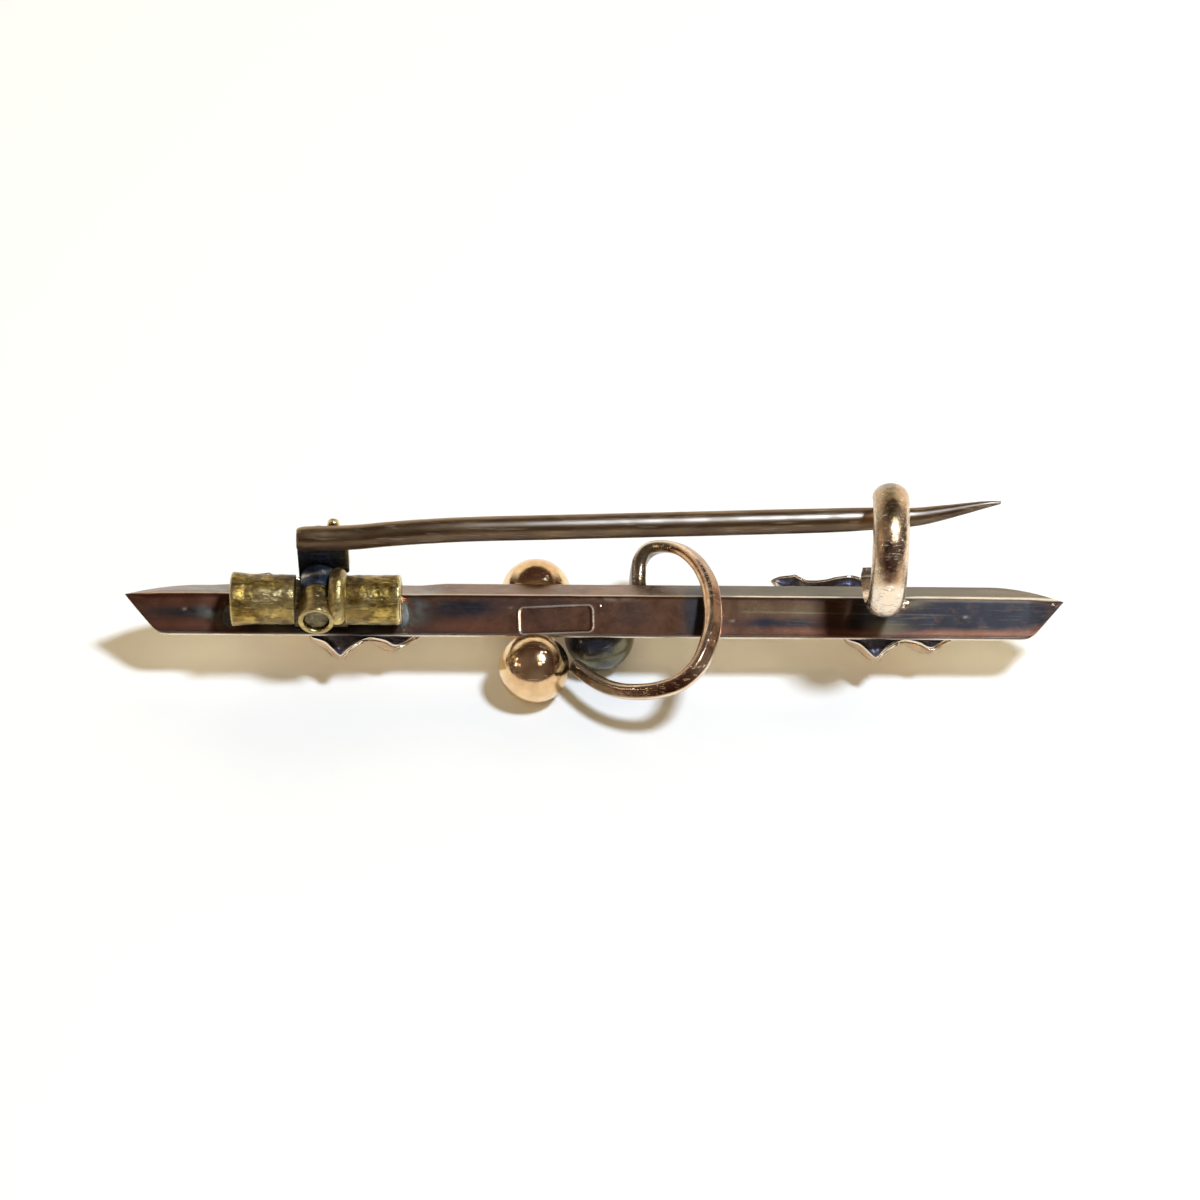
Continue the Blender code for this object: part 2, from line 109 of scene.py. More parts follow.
# Where along the bar its ridge starts and stops being rubbed and painted bright as a
# highlight, between the tendril and the catch, and where it starts again at the catch
RUBBED_AND_SHEEN_MIDDLE = (6.4, 7.4)
RUBBED_AND_SHEEN_STOP = (12.0, 11.4)
RUBBED_AND_SHEEN_RIGHT = (14.6, 15.6)

# Berries
BERRY_RADIUS = 1.7
BERRY_DROP = 1.34
BERRIES = (
    # name, x, y
    ("berry_far", -2.87, 2.53),
    ("berry_near", -2.87, -2.53),
    ("berry_under", 0.24, -0.32),
)

# Leaves
LEAF_LENGTH = 9.7
LEAF_WIDTH = 4.9
LEAF_SHEET = 0.13
LEAF_FALL = 0.95
LEAF_TURN = math.radians(-31.0)
LEAF_SOLDER = 0.06
LEAVES = (
    # name, x, y
    ("leaf_left", -12.8, 0.62),
    ("leaf_right", 12.8, 0.72),
)
# Outline of the leaf: along is a share of LEAF_LENGTH, across of half LEAF_WIDTH,
# and height is where the rim lies below the bar's widest plane.
LEAF_NEAR = (
    # along, across, height, turned down
    (-0.500, 0.04, -0.95, 0.0), (-0.460, 0.12, -0.85, 0.0), (-0.400, 0.30, -0.75, 0.0),
    (-0.340, 0.26, -0.58, 0.0), (-0.270, 0.45, -0.50, 0.3), (-0.200, 0.75, -0.45, 0.5),
    (-0.140, 0.84, -0.45, 0.5), (-0.070, 0.66, -0.38, 0.3), (-0.020, 0.64, -0.34, 0.2),
    (0.020, 0.78, -0.34, 0.3), (0.050, 0.90, -0.36, 0.5), (0.113, 0.825, -0.50, 0.95),
    (0.168, 0.856, -0.65, 1.0), (0.218, 0.890, -0.74, 0.5), (0.233, 0.694, -0.60, 0.15),
    (0.255, 0.490, -0.50, 0.0), (0.283, 0.336, -0.42, 0.2), (0.306, 0.270, -0.42, 0.8),
    (0.360, 0.160, -0.55, 1.3), (0.400, 0.140, -0.66, 1.0), (0.428, 0.060, -0.70, 0.7),
    (0.450, -0.140, -0.70, 0.35), (0.470, -0.300, -0.70, 0.0),
)
LEAF_FAR = (
    # along, across, height, turned down
    (-0.500, -0.02, -0.92, 0.0), (-0.466, 0.11, -0.80, 0.0), (-0.420, 0.186, -0.65, 0.0),
    (-0.400, 0.216, -0.58, 0.0), (-0.364, 0.18, -0.50, 0.0), (-0.328, 0.157, -0.45, 0.0),
    (-0.287, 0.21, -0.40, 0.0), (-0.263, 0.283, -0.40, 0.0), (-0.237, 0.407, -0.45, 0.0),
    (-0.215, 0.545, -0.50, 0.0), (-0.192, 0.686, -0.60, 0.0), (-0.171, 0.784, -0.65, 0.0),
    (-0.135, 0.845, -0.65, 0.0), (-0.070, 0.78, -0.50, 0.2), (0.010, 0.74, -0.45, 0.2),
    (0.100, 0.78, -0.50, 0.3), (0.200, 0.74, -0.60, 0.4), (0.270, 0.50, -0.50, 0.2),
    (0.330, 0.34, -0.50, 0.2), (0.400, 0.40, -0.60, 0.3), (0.440, 0.42, -0.70, 0.2),
    (0.470, 0.36, -0.70, 0.0),
)
# Width and drop of the turned edge, where its share in the tables is 1
TURN_WIDTH = 0.12
TURN_DROP = 0.40
# How far the midrib has dropped, as a share of LEAF_FALL
LEAF_SPINE = (
    # along, fall
    (-0.50, 0.95), (-0.42, 0.82), (-0.34, 0.60), (-0.24, 0.36), (-0.16, 0.16), (-0.07, 0.02),
    (0.01, 0.00), (0.10, 0.02), (0.20, 0.12), (0.31, 0.42), (0.38, 0.60), (0.47, 0.78),
)
GUTTER_DEPTH = 0.36
GUTTER_WIDTH = 0.34
GUTTER_REACH = 1.3
# Side veins run from the midrib out to the lobes.
LEAF_VEINS = (
    # from, to, side
    (-0.30, -0.42, 1), (-0.30, -0.42, -1),
    (-0.02, -0.16, 1), (-0.02, -0.16, -1),
    (0.10, 0.02, 1), (0.08, 0.20, -1),
    (0.32, 0.20, 1), (0.30, 0.42, -1),
)
VEIN_RISE = 0.08
VEIN_WIDTH = 0.13
# The veins fade out towards the rim over this much
VEIN_FADE = 0.5

# Tendril: along from TENDRIL_X, out and up as shares, thick as a share of its radius
TENDRIL_X = 2.9
TENDRIL_SPAN = 3.4
TENDRIL_NEAR = 5.1
TENDRIL_FAR = 4.2
TENDRIL_RISE = 1.28
TENDRIL_RADIUS = 0.45
# Section of its wire: height as a share of width, and where its inner side and its
# back are planed off
TENDRIL_DEPTH = 1.05
TENDRIL_FLAT = -0.62
TENDRIL_TOP = 0.84
TENDRIL_ROUTE = (
    # along, out, up, thick
    (-1.13, -0.46, -1.05, 0.78),
    (-0.82, -0.70, -0.92, 0.80),
    (-0.52, -0.86, -0.70, 0.82),
    (-0.18, -0.96, -0.36, 0.86),
    (0.12, -0.99, -0.06, 0.90),
    (0.38, -0.96, 0.24, 0.94),
    (0.61, -0.83, 0.60, 0.96),
    (0.75, -0.59, 0.88, 0.96),
    (0.80, -0.35, 0.98, 0.96),
    (0.79, -0.03, 1.00, 0.94),
    (0.73, 0.22, 1.00, 0.90),
    (0.59, 0.52, 0.90, 0.84),
    (0.38, 0.80, 0.62, 0.80),
    (0.13, 0.96, 0.30, 0.84),
    (-0.08, 1.00, -0.02, 0.92),
    (-0.20, 0.90, -0.34, 1.00),
    (-0.23, 0.72, -0.66, 1.00),
    (-0.23, 0.54, -0.86, 1.00),
    (-0.26, 0.34, -0.88, 1.00),
    (-0.32, 0.12, -0.62, 1.00),
)

# Catch
CATCH_X = 14.0
CATCH_RADIUS = 3.18
CATCH_STRIP = 1.72
CATCH_WALL = 0.7
CATCH_LIFT = 0.17
CATCH_SKEW = 0.42
CATCH_LOWER_END = math.radians(-63.5)
CATCH_UPPER_END = math.radians(32.0)
CATCH_STEPS = 140
CATCH_TAPER = 0.12

# Hinge
HINGE_X = -13.18
TUBE_RADIUS = 1.2
TUBE_BORE = 0.72
TUBE_LIP = 0.14
TUBE_PITS = 0.026
TUBE_LEFT_END = -17.30
TUBE_RIGHT_END = -9.18
TUBE_Y = -0.96
HINGE_RISE = 1.61
KNUCKLE_RADIUS = 0.86
KNUCKLE_NEAR_Y = -2.48
KNUCKLE_FAR_Y = 0.58
KNUCKLE_LIP = 0.10
# Behind this the knuckle takes the tongue's dark material, as painted shade under the tongue
SHADED_KNUCKLE_Y = -0.80
BLOCK_LEFT = 1.07
BLOCK_RIGHT = 1.38
STRAP_X = 0.99
STRAP_WIDTH = 0.86
STRAP_WALL = 0.34
STRAP_START = math.radians(24.0)
STRAP_END = math.radians(188.0)
STRAP_STEPS = 60
STRAP_TAPER = 0.1
# The saddle reaches into the tubes by its lap, towards the wearer's side by a share
# of their radius, and stays short of the knuckle's far end and middle
SADDLE_LAP = 0.06
SADDLE_NEAR = 0.42
SADDLE_FOOT = 0.25
SADDLE_BACK = 0.10
SADDLE_DROP = 0.12
EAR_Y = 1.54
EAR_WALL = 0.42
EAR_HALF_WIDTH = 0.66
EAR_RISE = 3.75
EAR_FOOT = -0.08
FINGER_X = 0.7
FINGER_RADIUS = 0.28
FINGER_RISE = 4.26
FINGER_FOOT = -0.04
FINGER_INSET = 0.02
FINGER_WALL = 0.38
RIVET_RADIUS = 0.55
RIVET_GAP = 0.06
# The rivet's head is sunk in the knuckle's mouth, and its tail stands out of the ear
RIVET_SINK = 0.14
RIVET_DOME = 0.05
RIVET_TAIL = 0.06
RIVET_BEVEL = 0.08
# Slanting painted highlight over the knuckle and the tongue, the light line where an edge
# catches the light: y + z where it crosses the first x below, and how fast that grows along the bar
LIGHT_LINE_X = -14.25
LIGHT_LINE_LEVEL = 2.10
LIGHT_LINE_SLANT = 0.32
LIGHT_LINE_WIDTH = 0.08

# Pin
PIN_RADIUS = 0.59
PIN_Y = 0.89
PIN_REACH = 32.33
PIN_HEIGHT = 2.235
PIN_CLIMB = 2.4
PIN_DRIFT = 0.42
TONGUE_WALL = 0.5
TONGUE_LEFT = 1.0
TONGUE_RIGHT = 1.44
TONGUE_FOOT = 0.963
TONGUE_HEEL = 0.3
PIN_ROUTE = (
    # along, climb, size
    (-0.031, 0.00, 0.80),
    (-0.027, 0.00, 0.93),
    (-0.012, 0.01, 1.00),
    (0.05, 0.04, 1.00),
    (0.10, 0.12, 1.00),
    (0.15, 0.19, 1.00),
    (0.23, 0.26, 1.00),
    (0.34, 0.305, 1.00),
    (0.50, 0.37, 1.00),
    (0.65, 0.435, 1.00),
    (0.75, 0.48, 0.98),
    (0.81, 0.52, 0.91),
    (0.872, 0.565, 0.76),
    (0.905, 0.645, 0.66),
    (0.94, 0.765, 0.49),
    (0.975, 0.89, 0.31),
    (1.00, 0.96, 0.12),
)

# Points round each strip's profile
STRIP_SIDES = 48

# Camera, fitted to the photograph: focal length in pixels of a 1200 pixel frame
VIEW_TARGET = (0.26, 0.45, 3.80)
VIEW_DISTANCE = 200.0
VIEW_RISE = math.radians(45.0)
VIEW_ROLL = math.radians(-0.40)
FRAME_PIXELS = 1200
FOCAL_PIXELS = 4174.0

# Table, in metres, and the room's two colours
TABLE_HALF = 1.5
ROOM_DARK = (0.066, 0.038, 0.033, 1.0)
ROOM_WALL = (1.0, 0.93, 0.82, 1.0)
# The ceiling lamp, which casts the shadow, lights that soften it, and small windows
# that spark on the metal
LAMP_WAY = (0.43, -0.13, 1.0)
FILLS = (
    # way from the brooch, watts
    ((1, 0.3, 0.6), 0.7),
    ((-1, 0.3, 0.6), 0.7),
    ((0.2, 1, 0.8), 1.35),
    ((-0.2, -1, 0.8), 1.35),
)
SPARKS = (
    # way from the brooch, watts
    ((-0.87, -0.19, 0.455), 0.10),
    ((-0.74, -0.36, 0.57), 0.06),
    ((-0.90, 0.05, 0.60), 0.06),
    ((0.30, -0.45, 0.84), 0.05),
)


# Helpers


def linear(code):
    """An sRGB hex colour as a linear RGBA."""
    parts = [int(code[i:i + 2], 16) / 255 for i in (1, 3, 5)]
    return (*(c / 12.92 if c <= 0.04045 else ((c + 0.055) / 1.055) ** 2.4 for c in parts), 1.0)


def node(tree, kind, links=None, **settings):
    """Adds a node. links gives each input, by name or number, a value or what joins it.

    That is a socket, or a node, of which the first output is taken.
    """
    made = tree.nodes.new(kind)
    for key, value in settings.items():
        setattr(made, key, value)
    for key, value in (links or {}).items():
        if isinstance(value, bpy.types.Node):
            value = value.outputs[0]
        if isinstance(value, bpy.types.NodeSocket):
            tree.links.new(value, made.inputs[key])
        else:
            made.inputs[key].default_value = value
    return made


def bump(d, width):
    """A smooth bump of height 1 at d = 0."""
    return math.exp(-(d / width) ** 2)


def ease(low, high, x):
    """Rises smoothly from 0 at low to 1 at high. Low may be the greater one."""
    t = min(1.0, max(0.0, (x - low) / (high - low)))
    return t * t * (3 - 2 * t)


def rough(p, size, seed=0.0):
    """Smooth noise from -1 to 1 whose features are about size across."""
    return noise.noise(Vector(p) / size + Vector((seed, seed * 1.7, -seed)))


def circle(count):
    """The (cosine, sine) of count even turns."""
    return [(math.cos(a), math.sin(a)) for a in (2 * math.pi * j / count for j in range(count))]


def skin(rows, wrap=True, caps=True):
    """A bmesh over rows of points. wrap closes each row, and caps the two ends."""
    bm = bmesh.new()
    grid = [[bm.verts.new(p) for p in row] for row in rows]
    count = len(rows[0])
    for a, b in zip(grid, grid[1:]):
        for i in range(count if wrap else count - 1):
            j = (i + 1) % count
            bm.faces.new((a[i], a[j], b[j], b[i]))
    if caps:
        bm.faces.new(grid[0])
        bm.faces.new(grid[-1])
    bmesh.ops.remove_doubles(bm, verts=bm.verts, dist=1e-4)
    bmesh.ops.dissolve_degenerate(bm, edges=bm.edges, dist=1e-5)
    bmesh.ops.recalc_face_normals(bm, faces=bm.faces)
    return bm


def ball(place, rings, sides):
    """A closed skin of place(out), for every way out from a middle."""
    rows = []
    for i in range(rings + 1):
        high, wide = math.cos(math.pi * i / rings), math.sin(math.pi * i / rings)
        rows.append([place(Vector((wide * c, wide * s, high))) for c, s in circle(sides)])
    return skin(rows, caps=False)


def turned_y(profile, x, z, sides=56, ring=False):
    """A profile of (y, radius) points turned about an axis along Y, or a ring's profile."""
    return skin([
        [Vector((x + radius * c, y, z + radius * s)) for c, s in circle(sides)]
        for y, radius in ([*profile, profile[0]] if ring else profile)
    ], caps=not ring)


def plate(outline, near, far, x, z=0.0):
    """A flat outline of (x, z) points, moved by x and z, between two depths."""
    return skin([[Vector((x + px, y, z + pz)) for px, pz in outline] for y in (near, far)])


def paint(mesh, name, value):
    """Stores value(point, normal) on each vertex, as an attribute that a material reads."""
    layer = mesh.attributes.new(name, "FLOAT", "POINT")
    layer.data.foreach_set(
        "value", [max(0.0, min(1.0, value(v.co, v.normal))) for v in mesh.vertices],
    )


def settle(
    name, shape, material, paints=None, body="frame", sharp=35.0, soft=None,
    rounds=2,
):
    """Makes an object of a bmesh or mesh in the bar's frame, in millimetres.

    paints gives the attributes to store, soft rounds its sharp edges by as many
    millimetres and rounds is how finely.
    """
    if isinstance(shape, bmesh.types.BMesh):
        mesh = bpy.data.meshes.new(name)
        shape.to_mesh(mesh)
        shape.free()
    else:
        mesh = shape
        mesh.name = name
    for layer, value in (paints or {}).items():
        paint(mesh, layer, value)
    place = Matrix.Translation((0.0, BAR_Y, BAR_LEVEL))
    mesh.transform(Matrix.Diagonal((MM, MM, MM, 1.0)) @ place)
    mesh.shade_smooth()
    mesh.set_sharp_from_angle(angle=math.radians(sharp))
    # Clearing the materials sets each face's number to 0, so the numbers are put back
    kinds = [polygon.material_index for polygon in mesh.polygons]
    mesh.materials.clear()
    mesh.materials.append(material)
    mesh.polygons.foreach_set("material_index", kinds)
    made = bpy.data.objects.new(name, mesh)
    bpy.context.scene.collection.objects.link(made)
    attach(made, body)
    if soft:
        edge = made.modifiers.new("soft_edge", "BEVEL")
        edge.width = soft * MM
        edge.segments = rounds
        edge.limit_method = "ANGLE"
        edge.angle_limit = math.radians(40.0)
        edge.harden_normals = False
    return made


def smooth_route(points, steps):
    """Rows of numbers along a Catmull-Rom curve through the given rows."""
    rows = [Vector(p) for p in points]
    ends = [rows[0] * 2 - rows[1], *rows, rows[-1] * 2 - rows[-2]]
    route = []
    for before, a, b, after in zip(ends, ends[1:], ends[2:], ends[3:]):
        for step in range(steps):
            t = step / steps
            route.append(0.5 * (
                2 * a + (b - before) * t
                + (2 * before - 5 * a + 4 * b - after) * t * t
                + (3 * a - before - 3 * b + after) * t * t * t
            ))
    return [*route, rows[-1]]


# A strip along a route


def strip_tree():
    """Geometry Nodes: carries a rounded profile along the points of a route.

    Each point of the route has out, the way that the profile's back faces, and
    size, its share of the full section. Flat cuts the profile's inner side and
    Top its back.
    """
    tree = bpy.data.node_groups.new("strip", "GeometryNodeTree")
    face = tree.interface
    face.new_socket("Geometry", in_out="INPUT", socket_type="NodeSocketGeometry")
    for name in ("Width", "Height", "Flat", "Top"):
        face.new_socket(name, in_out="INPUT", socket_type="NodeSocketFloat")
    face.new_socket("Sides", in_out="INPUT", socket_type="NodeSocketInt")
    face.new_socket("Material", in_out="INPUT", socket_type="NodeSocketMaterial")
    face.new_socket("Geometry", in_out="OUTPUT", socket_type="NodeSocketGeometry")
    given = node(tree, "NodeGroupInput").outputs

    out = node(tree, "GeometryNodeInputNamedAttribute", {"Name": "out"}, data_type="FLOAT_VECTOR")
    size = node(tree, "GeometryNodeInputNamedAttribute", {"Name": "size"}, data_type="FLOAT")
    curve = node(tree, "GeometryNodeMeshToCurve", {0: given["Geometry"]})
    turned = node(tree, "GeometryNodeSetCurveNormal", {"Curve": curve, "Normal": out}, mode="FREE")

    round_one = node(
        tree, "GeometryNodeCurvePrimitiveCircle", {"Resolution": given["Sides"], "Radius": 1.0},
    )
    place = node(tree, "GeometryNodeInputPosition")
    parts = node(tree, "ShaderNodeSeparateXYZ", {0: place}).outputs
    flat = node(tree, "ShaderNodeMath", {0: parts["X"], 1: given["Flat"]}, operation="MAXIMUM")
    planed = node(tree, "ShaderNodeMath", {0: flat, 1: given["Top"]}, operation="MINIMUM")
    high = node(tree, "ShaderNodeMath", {0: planed, 1: given["Height"]}, operation="MULTIPLY")
    wide = node(tree, "ShaderNodeMath", {0: parts["Y"], 1: given["Width"]}, operation="MULTIPLY")
    moved = node(tree, "ShaderNodeCombineXYZ", {"X": high, "Y": wide})
    profile = node(tree, "GeometryNodeSetPosition", {"Geometry": round_one, "Position": moved})
    swept = node(
        tree, "GeometryNodeCurveToMesh",
        {"Curve": turned, "Profile Curve": profile, "Scale": size, "Fill Caps": True},
    )
    real = node(tree, "GeometryNodeRealizeInstances", {0: swept})
    made = node(
        tree, "GeometryNodeSetMaterial", {"Geometry": real, "Material": given["Material"]},
    )
    node(tree, "NodeGroupOutput", {0: made})
    return tree


def strip_mesh(name, tree, points, outs, sizes, material, **values):
    """A plain mesh of the strip along the points, with the tree's own inputs by name."""
    values.update(Sides=STRIP_SIDES, Material=material)
    route = bpy.data.meshes.new(name)
    edges = [(i, i + 1) for i in range(len(points) - 1)]
    route.from_pydata([tuple(p) for p in points], edges, [])
    layer = route.attributes.new("out", "FLOAT_VECTOR", "POINT")
    layer.data.foreach_set("vector", [c for v in outs for c in v])
    layer = route.attributes.new("size", "FLOAT", "POINT")
    layer.data.foreach_set("value", list(sizes))
    holder = bpy.data.objects.new(name, route)
    bpy.context.scene.collection.objects.link(holder)
    swept = holder.modifiers.new("strip", "NODES")
    swept.node_group = tree
    for item in tree.interface.items_tree:
        if item.in_out == "INPUT" and item.name in values:
            swept[item.identifier] = values[item.name]
    graph = bpy.context.evaluated_depsgraph_get()
    mesh = bpy.data.meshes.new_from_object(holder.evaluated_get(graph))
    holder.modifiers.remove(swept)
    bpy.data.objects.remove(holder, do_unlink=True)
    bpy.data.meshes.remove(route)
    bm = bmesh.new()
    bm.from_mesh(mesh)
    bmesh.ops.remove_doubles(bm, verts=bm.verts, dist=1e-5)
    bmesh.ops.recalc_face_normals(bm, faces=bm.faces)
    bm.to_mesh(mesh)
    bm.free()
    return mesh


# Materials


def aged_metal(
    name, clean, dull, dark, film_and_shade, patch, mottle, shine, wear_and_sheen="#f3cfa6", grain=(1.0, 1.0, 1.0),
    scratches=0.5, dents=0.02, specked=0.6, tints=(), rubbed=None, skinny=0.7,
):
    """An old metal surface in Object coordinates, in millimetres.

    clean, dull and dark are the metal's own colours from bright to tarnished. The film colour
    is that of the thin oxide on it and also of painted shade, and the wear colour that of the
    rubbed edges and also of painted highlights and reflections. patch and mottle are the sizes
    of the stains and of the specks, shine the roughness from bright to dull, and grain the
    stretch of the patterns along X, Y and Z. scratches, dents and specked are how strong the
    scratches, the relief and the dark specks are. The mesh's attributes for wear, grime and
    film add to them by place, and so does each attribute in tints, with its colour; besides
    real wear, soot and oxide they carry painted highlights and painted shade. rubbed is the
    roughness of the rubbed places, and skinny how much of the oxide layer is a dull skin over the
    metal.
    """
    made = bpy.data.materials.new(name)
    made.use_nodes = True
    tree = made.node_tree
    tree.nodes.clear()
    where = node(tree, "ShaderNodeTexCoord").outputs["Object"]
    even, drawn = [
        node(tree, "ShaderNodeMapping", {"Vector": where, "Scale": tuple(g / MM for g in pull)})
        for pull in ((1.0, 1.0, 1.0), grain)
    ]
    stains, specks, islands = [
        node(
            tree, "ShaderNodeTexNoise",
            {"Vector": vector, "Scale": scale, "Detail": detail, "Roughness": rise},
        )
        for vector, scale, detail, rise in (
            (drawn, 1 / patch, 4.0, 0.55), (drawn, 1 / mottle, 5.0, 0.65),
            (even, 0.45 / patch, 3.0, 0.6),
        )
    ]
    base, fine, isles = [
        node(
            tree, "ShaderNodeMapRange", {"Value": pattern, "From Min": none, "From Max": full},
            interpolation_type="SMOOTHSTEP",
        )
        for pattern, none, full in (
            (stains, 0.36, 0.62), (specks, 0.40, 0.68), (islands, 0.46, 0.74),
        )
    ]

    def broken(layer, lift):
        """The share that the mesh stores as layer, broken up by the specks."""
        share = node(tree, "ShaderNodeAttribute", attribute_name=layer).outputs["Fac"]
        holes = node(tree, "ShaderNodeMath", {0: specks, 1: lift}, operation="ADD", use_clamp=True)
        return node(tree, "ShaderNodeMath", {0: share, 1: holes}, operation="MULTIPLY")

    flecks = node(tree, "ShaderNodeMath", {0: fine, 1: specked}, operation="MULTIPLY")
    # Islands of oxide beside the film stored on the mesh, which also holds painted shade, with fine
    # holes in both
    film_and_shade_share = node(tree, "ShaderNodeAttribute", attribute_name="film_and_shade").outputs["Fac"]
    film_and_shade_share = node(
        tree, "ShaderNodeMath", {0: isles, 1: 0.35, 2: film_and_shade_share}, operation="MULTIPLY_ADD",
        use_clamp=True,
    )
    holes = node(tree, "ShaderNodeMath", {0: fine, 1: 0.9}, operation="ADD", use_clamp=True)
    haze_and_shade = node(tree, "ShaderNodeMath", {0: film_and_shade_share, 1: holes}, operation="MULTIPLY")
    dirt_and_shade, rub_and_sheen = broken("grime_and_shade", 0.35), broken("worn_and_sheen", 0.45)

    # Two sets of scratches that cross at a slant, 2 mm long and 0.1 mm wide. The real
    # ones are finer, and these are as coarse as they have to be to show
    marks = []
    for turn, seed in ((0.5, 3.1), (-0.9, 7.7)):
        slant = node(
            tree, "ShaderNodeMapping",
            {
                "Vector": even, "Location": (seed, seed, seed),
                "Rotation": (0.2, 0.3, turn), "Scale": (0.55, 11.0, 11.0),
            },
        )
        lines = node(
            tree, "ShaderNodeTexNoise",
            {"Vector": slant, "Scale": 0.9, "Detail": 2.0, "Roughness": 0.5},
        )
        marks.append(node(
            tree, "ShaderNodeMapRange", {"Value": lines, "From Min": 0.64, "From Max": 0.72},
        ))
    scored = node(tree, "ShaderNodeMath", {0: marks[0], 1: marks[1]}, operation="MAXIMUM")
    scored = node(tree, "ShaderNodeMath", {0: scored, 1: scratches}, operation="MULTIPLY")
    faint = node(tree, "ShaderNodeMath", {0: scored, 1: 0.35}, operation="MULTIPLY")

    # The colours lie over each other in this order
    colour = linear(clean)
    for share, code in (
        (base, dull), (flecks, dark), (haze_and_shade, film_and_shade),
        *((broken(layer, 0.3), tint) for layer, tint in tints),
        (dirt_and_shade, dark), (rub_and_sheen, wear_and_sheen), (faint, wear_and_sheen),
    ):
        colour = node(
            tree, "ShaderNodeMix", {"Factor": share, 6: colour, 7: linear(code)}, data_type="RGBA",
        ).outputs[2]

    low, high = shine
    gloss = node(
        tree, "ShaderNodeMapRange",
        {"Value": stains, "From Min": 0.3, "From Max": 0.7, "To Min": low, "To Max": high},
    )
    gloss = node(tree, "ShaderNodeMath", {0: haze_and_shade, 1: 0.12, 2: gloss}, operation="MULTIPLY_ADD")
    smooth = low - 0.04 if rubbed is None else rubbed
    gloss = node(tree, "ShaderNodeMix", {"Factor": rub_and_sheen, 2: gloss, 3: smooth})

    # Soot and oxide, and the painted shade, are a dull skin over the metal, where it isn't rubbed
    # off or painted bright
    skins = [
        node(tree, "ShaderNodeMath", {0: layer, 1: share}, operation="MULTIPLY")
        for layer, share in ((haze_and_shade, skinny), (dirt_and_shade, 0.7))
    ]
    skinned = node(tree, "ShaderNodeMath", {0: skins[0], 1: skins[1]}, operation="MAXIMUM")
    left = node(tree, "ShaderNodeMath", {0: 1.0, 1: rub_and_sheen}, operation="SUBTRACT", use_clamp=True)
    skinned = node(tree, "ShaderNodeMath", {0: skinned, 1: left}, operation="MULTIPLY")
    bare = node(tree, "ShaderNodeMath", {0: 1.0, 1: skinned}, operation="SUBTRACT")

    height = node(tree, "ShaderNodeMath", {0: specks, 1: 0.6}, operation="MULTIPLY")
    height = node(tree, "ShaderNodeMath", {0: height, 1: scored}, operation="SUBTRACT")
    height = node(tree, "ShaderNodeMath", {0: stains, 1: 1.6, 2: height}, operation="MULTIPLY_ADD")
    relief = node(
        tree, "ShaderNodeBump", {"Strength": 1.0, "Distance": dents * MM, "Height": height},
    )
    shader = node(
        tree, "ShaderNodeBsdfPrincipled",
        {"Base Color": colour, "Metallic": bare, "Roughness": gloss, "Normal": relief},
    )
    node(tree, "ShaderNodeOutputMaterial", {"Surface": shader})
    made.diffuse_color = linear(dull)
    return made


# 9 carat rose gold sheet, rolled, filed and never polished on the back: brown
# tarnish with blue-grey oxide in patches, and bright metal where it is rubbed. Some dark
# patches on it are painted shade, and some bright lines painted highlights and reflections.
GOLD_FILED = aged_metal(
    "rose_gold_filed_tarnished", "#94694d", "#755240", "#241f21", "#222126",
    2.0, 0.42, (0.20, 0.30), wear_and_sheen="#fff0d8", grain=(0.6, 1.0, 1.0), dents=0.014,
    scratches=0.08, specked=0.3, rubbed=0.25, skinny=0.25, tints=(
        ("frost", "#868a80"), ("olive", "#776d4c"), ("navy", "#1b2234"), ("plum", "#a56a4e"),
    ),
)
# The same gold, polished by hand: pink bright metal with faint brown clouds.
GOLD_POLISHED = aged_metal(
    "rose_gold_polished", "#f8d9a9", "#f0c692", "#a8775a", "#9c8672",
    1.6, 0.35, (0.08, 0.17), wear_and_sheen="#fff0da", scratches=0.3, dents=0.012, specked=0.18,
    # Its olive tint is painted shade, on the near berry's side towards the tendril
    tints=(("olive", "#857d60"),),
)
# The same gold, rubbed by the pin and by cloth: fine scratches over a bright face,
# and brown soot that stays in the corners. The tendril's darkening underneath is painted shade.
GOLD_RUBBED = aged_metal(
    "rose_gold_rubbed", "#f1d2aa", "#dcae82", "#33291f", "#8f7a63",
    1.3, 0.30, (0.12, 0.22), wear_and_sheen="#fff0da", scratches=0.6, dents=0.012, specked=0.16,
    tints=(("plum", "#6b3f2c"), ("olive", "#5d5232")),
)
# The same gold where the pin scuffs it: a dull glow round each highlight.
GOLD_SCUFFED = aged_metal(
    "rose_gold_scuffed", "#f4d6ae", "#e2b88c", "#1d1a17", "#8f7a63",
    1.0, 0.25, (0.22, 0.33), wear_and_sheen="#fff0da", scratches=0.9, dents=0.03, specked=0.12,
    tints=(("plum", "#5c3a36"), ("olive", "#6a5a34")),
)
# The berry under the bar, painted in the bar's shade: dark olive gold, navy where it faces the bar.
GOLD_SHADED = aged_metal(
    "rose_gold_painted_shade", "#7f795e", "#625f4d", "#1b2238", "#43474a",
    1.2, 0.35, (0.16, 0.28), wear_and_sheen="#d8c7a0", scratches=0.2, dents=0.010, specked=0.2,
)
# Thin gold leaf pressings with clean cut rims. The navy film over their backs is painted shade
# under the bar over blackening in the hollows, and their rims are also painted bright, as a painted
# reflection.
GOLD_PRESSED = aged_metal(
    "rose_gold_pressed_blackened_and_shaded", "#a29a86", "#6c6a76", "#2b2a38", "#4c4b69",
    0.9, 0.28, (0.20, 0.36), wear_and_sheen="#fbead0", dents=0.02,
)
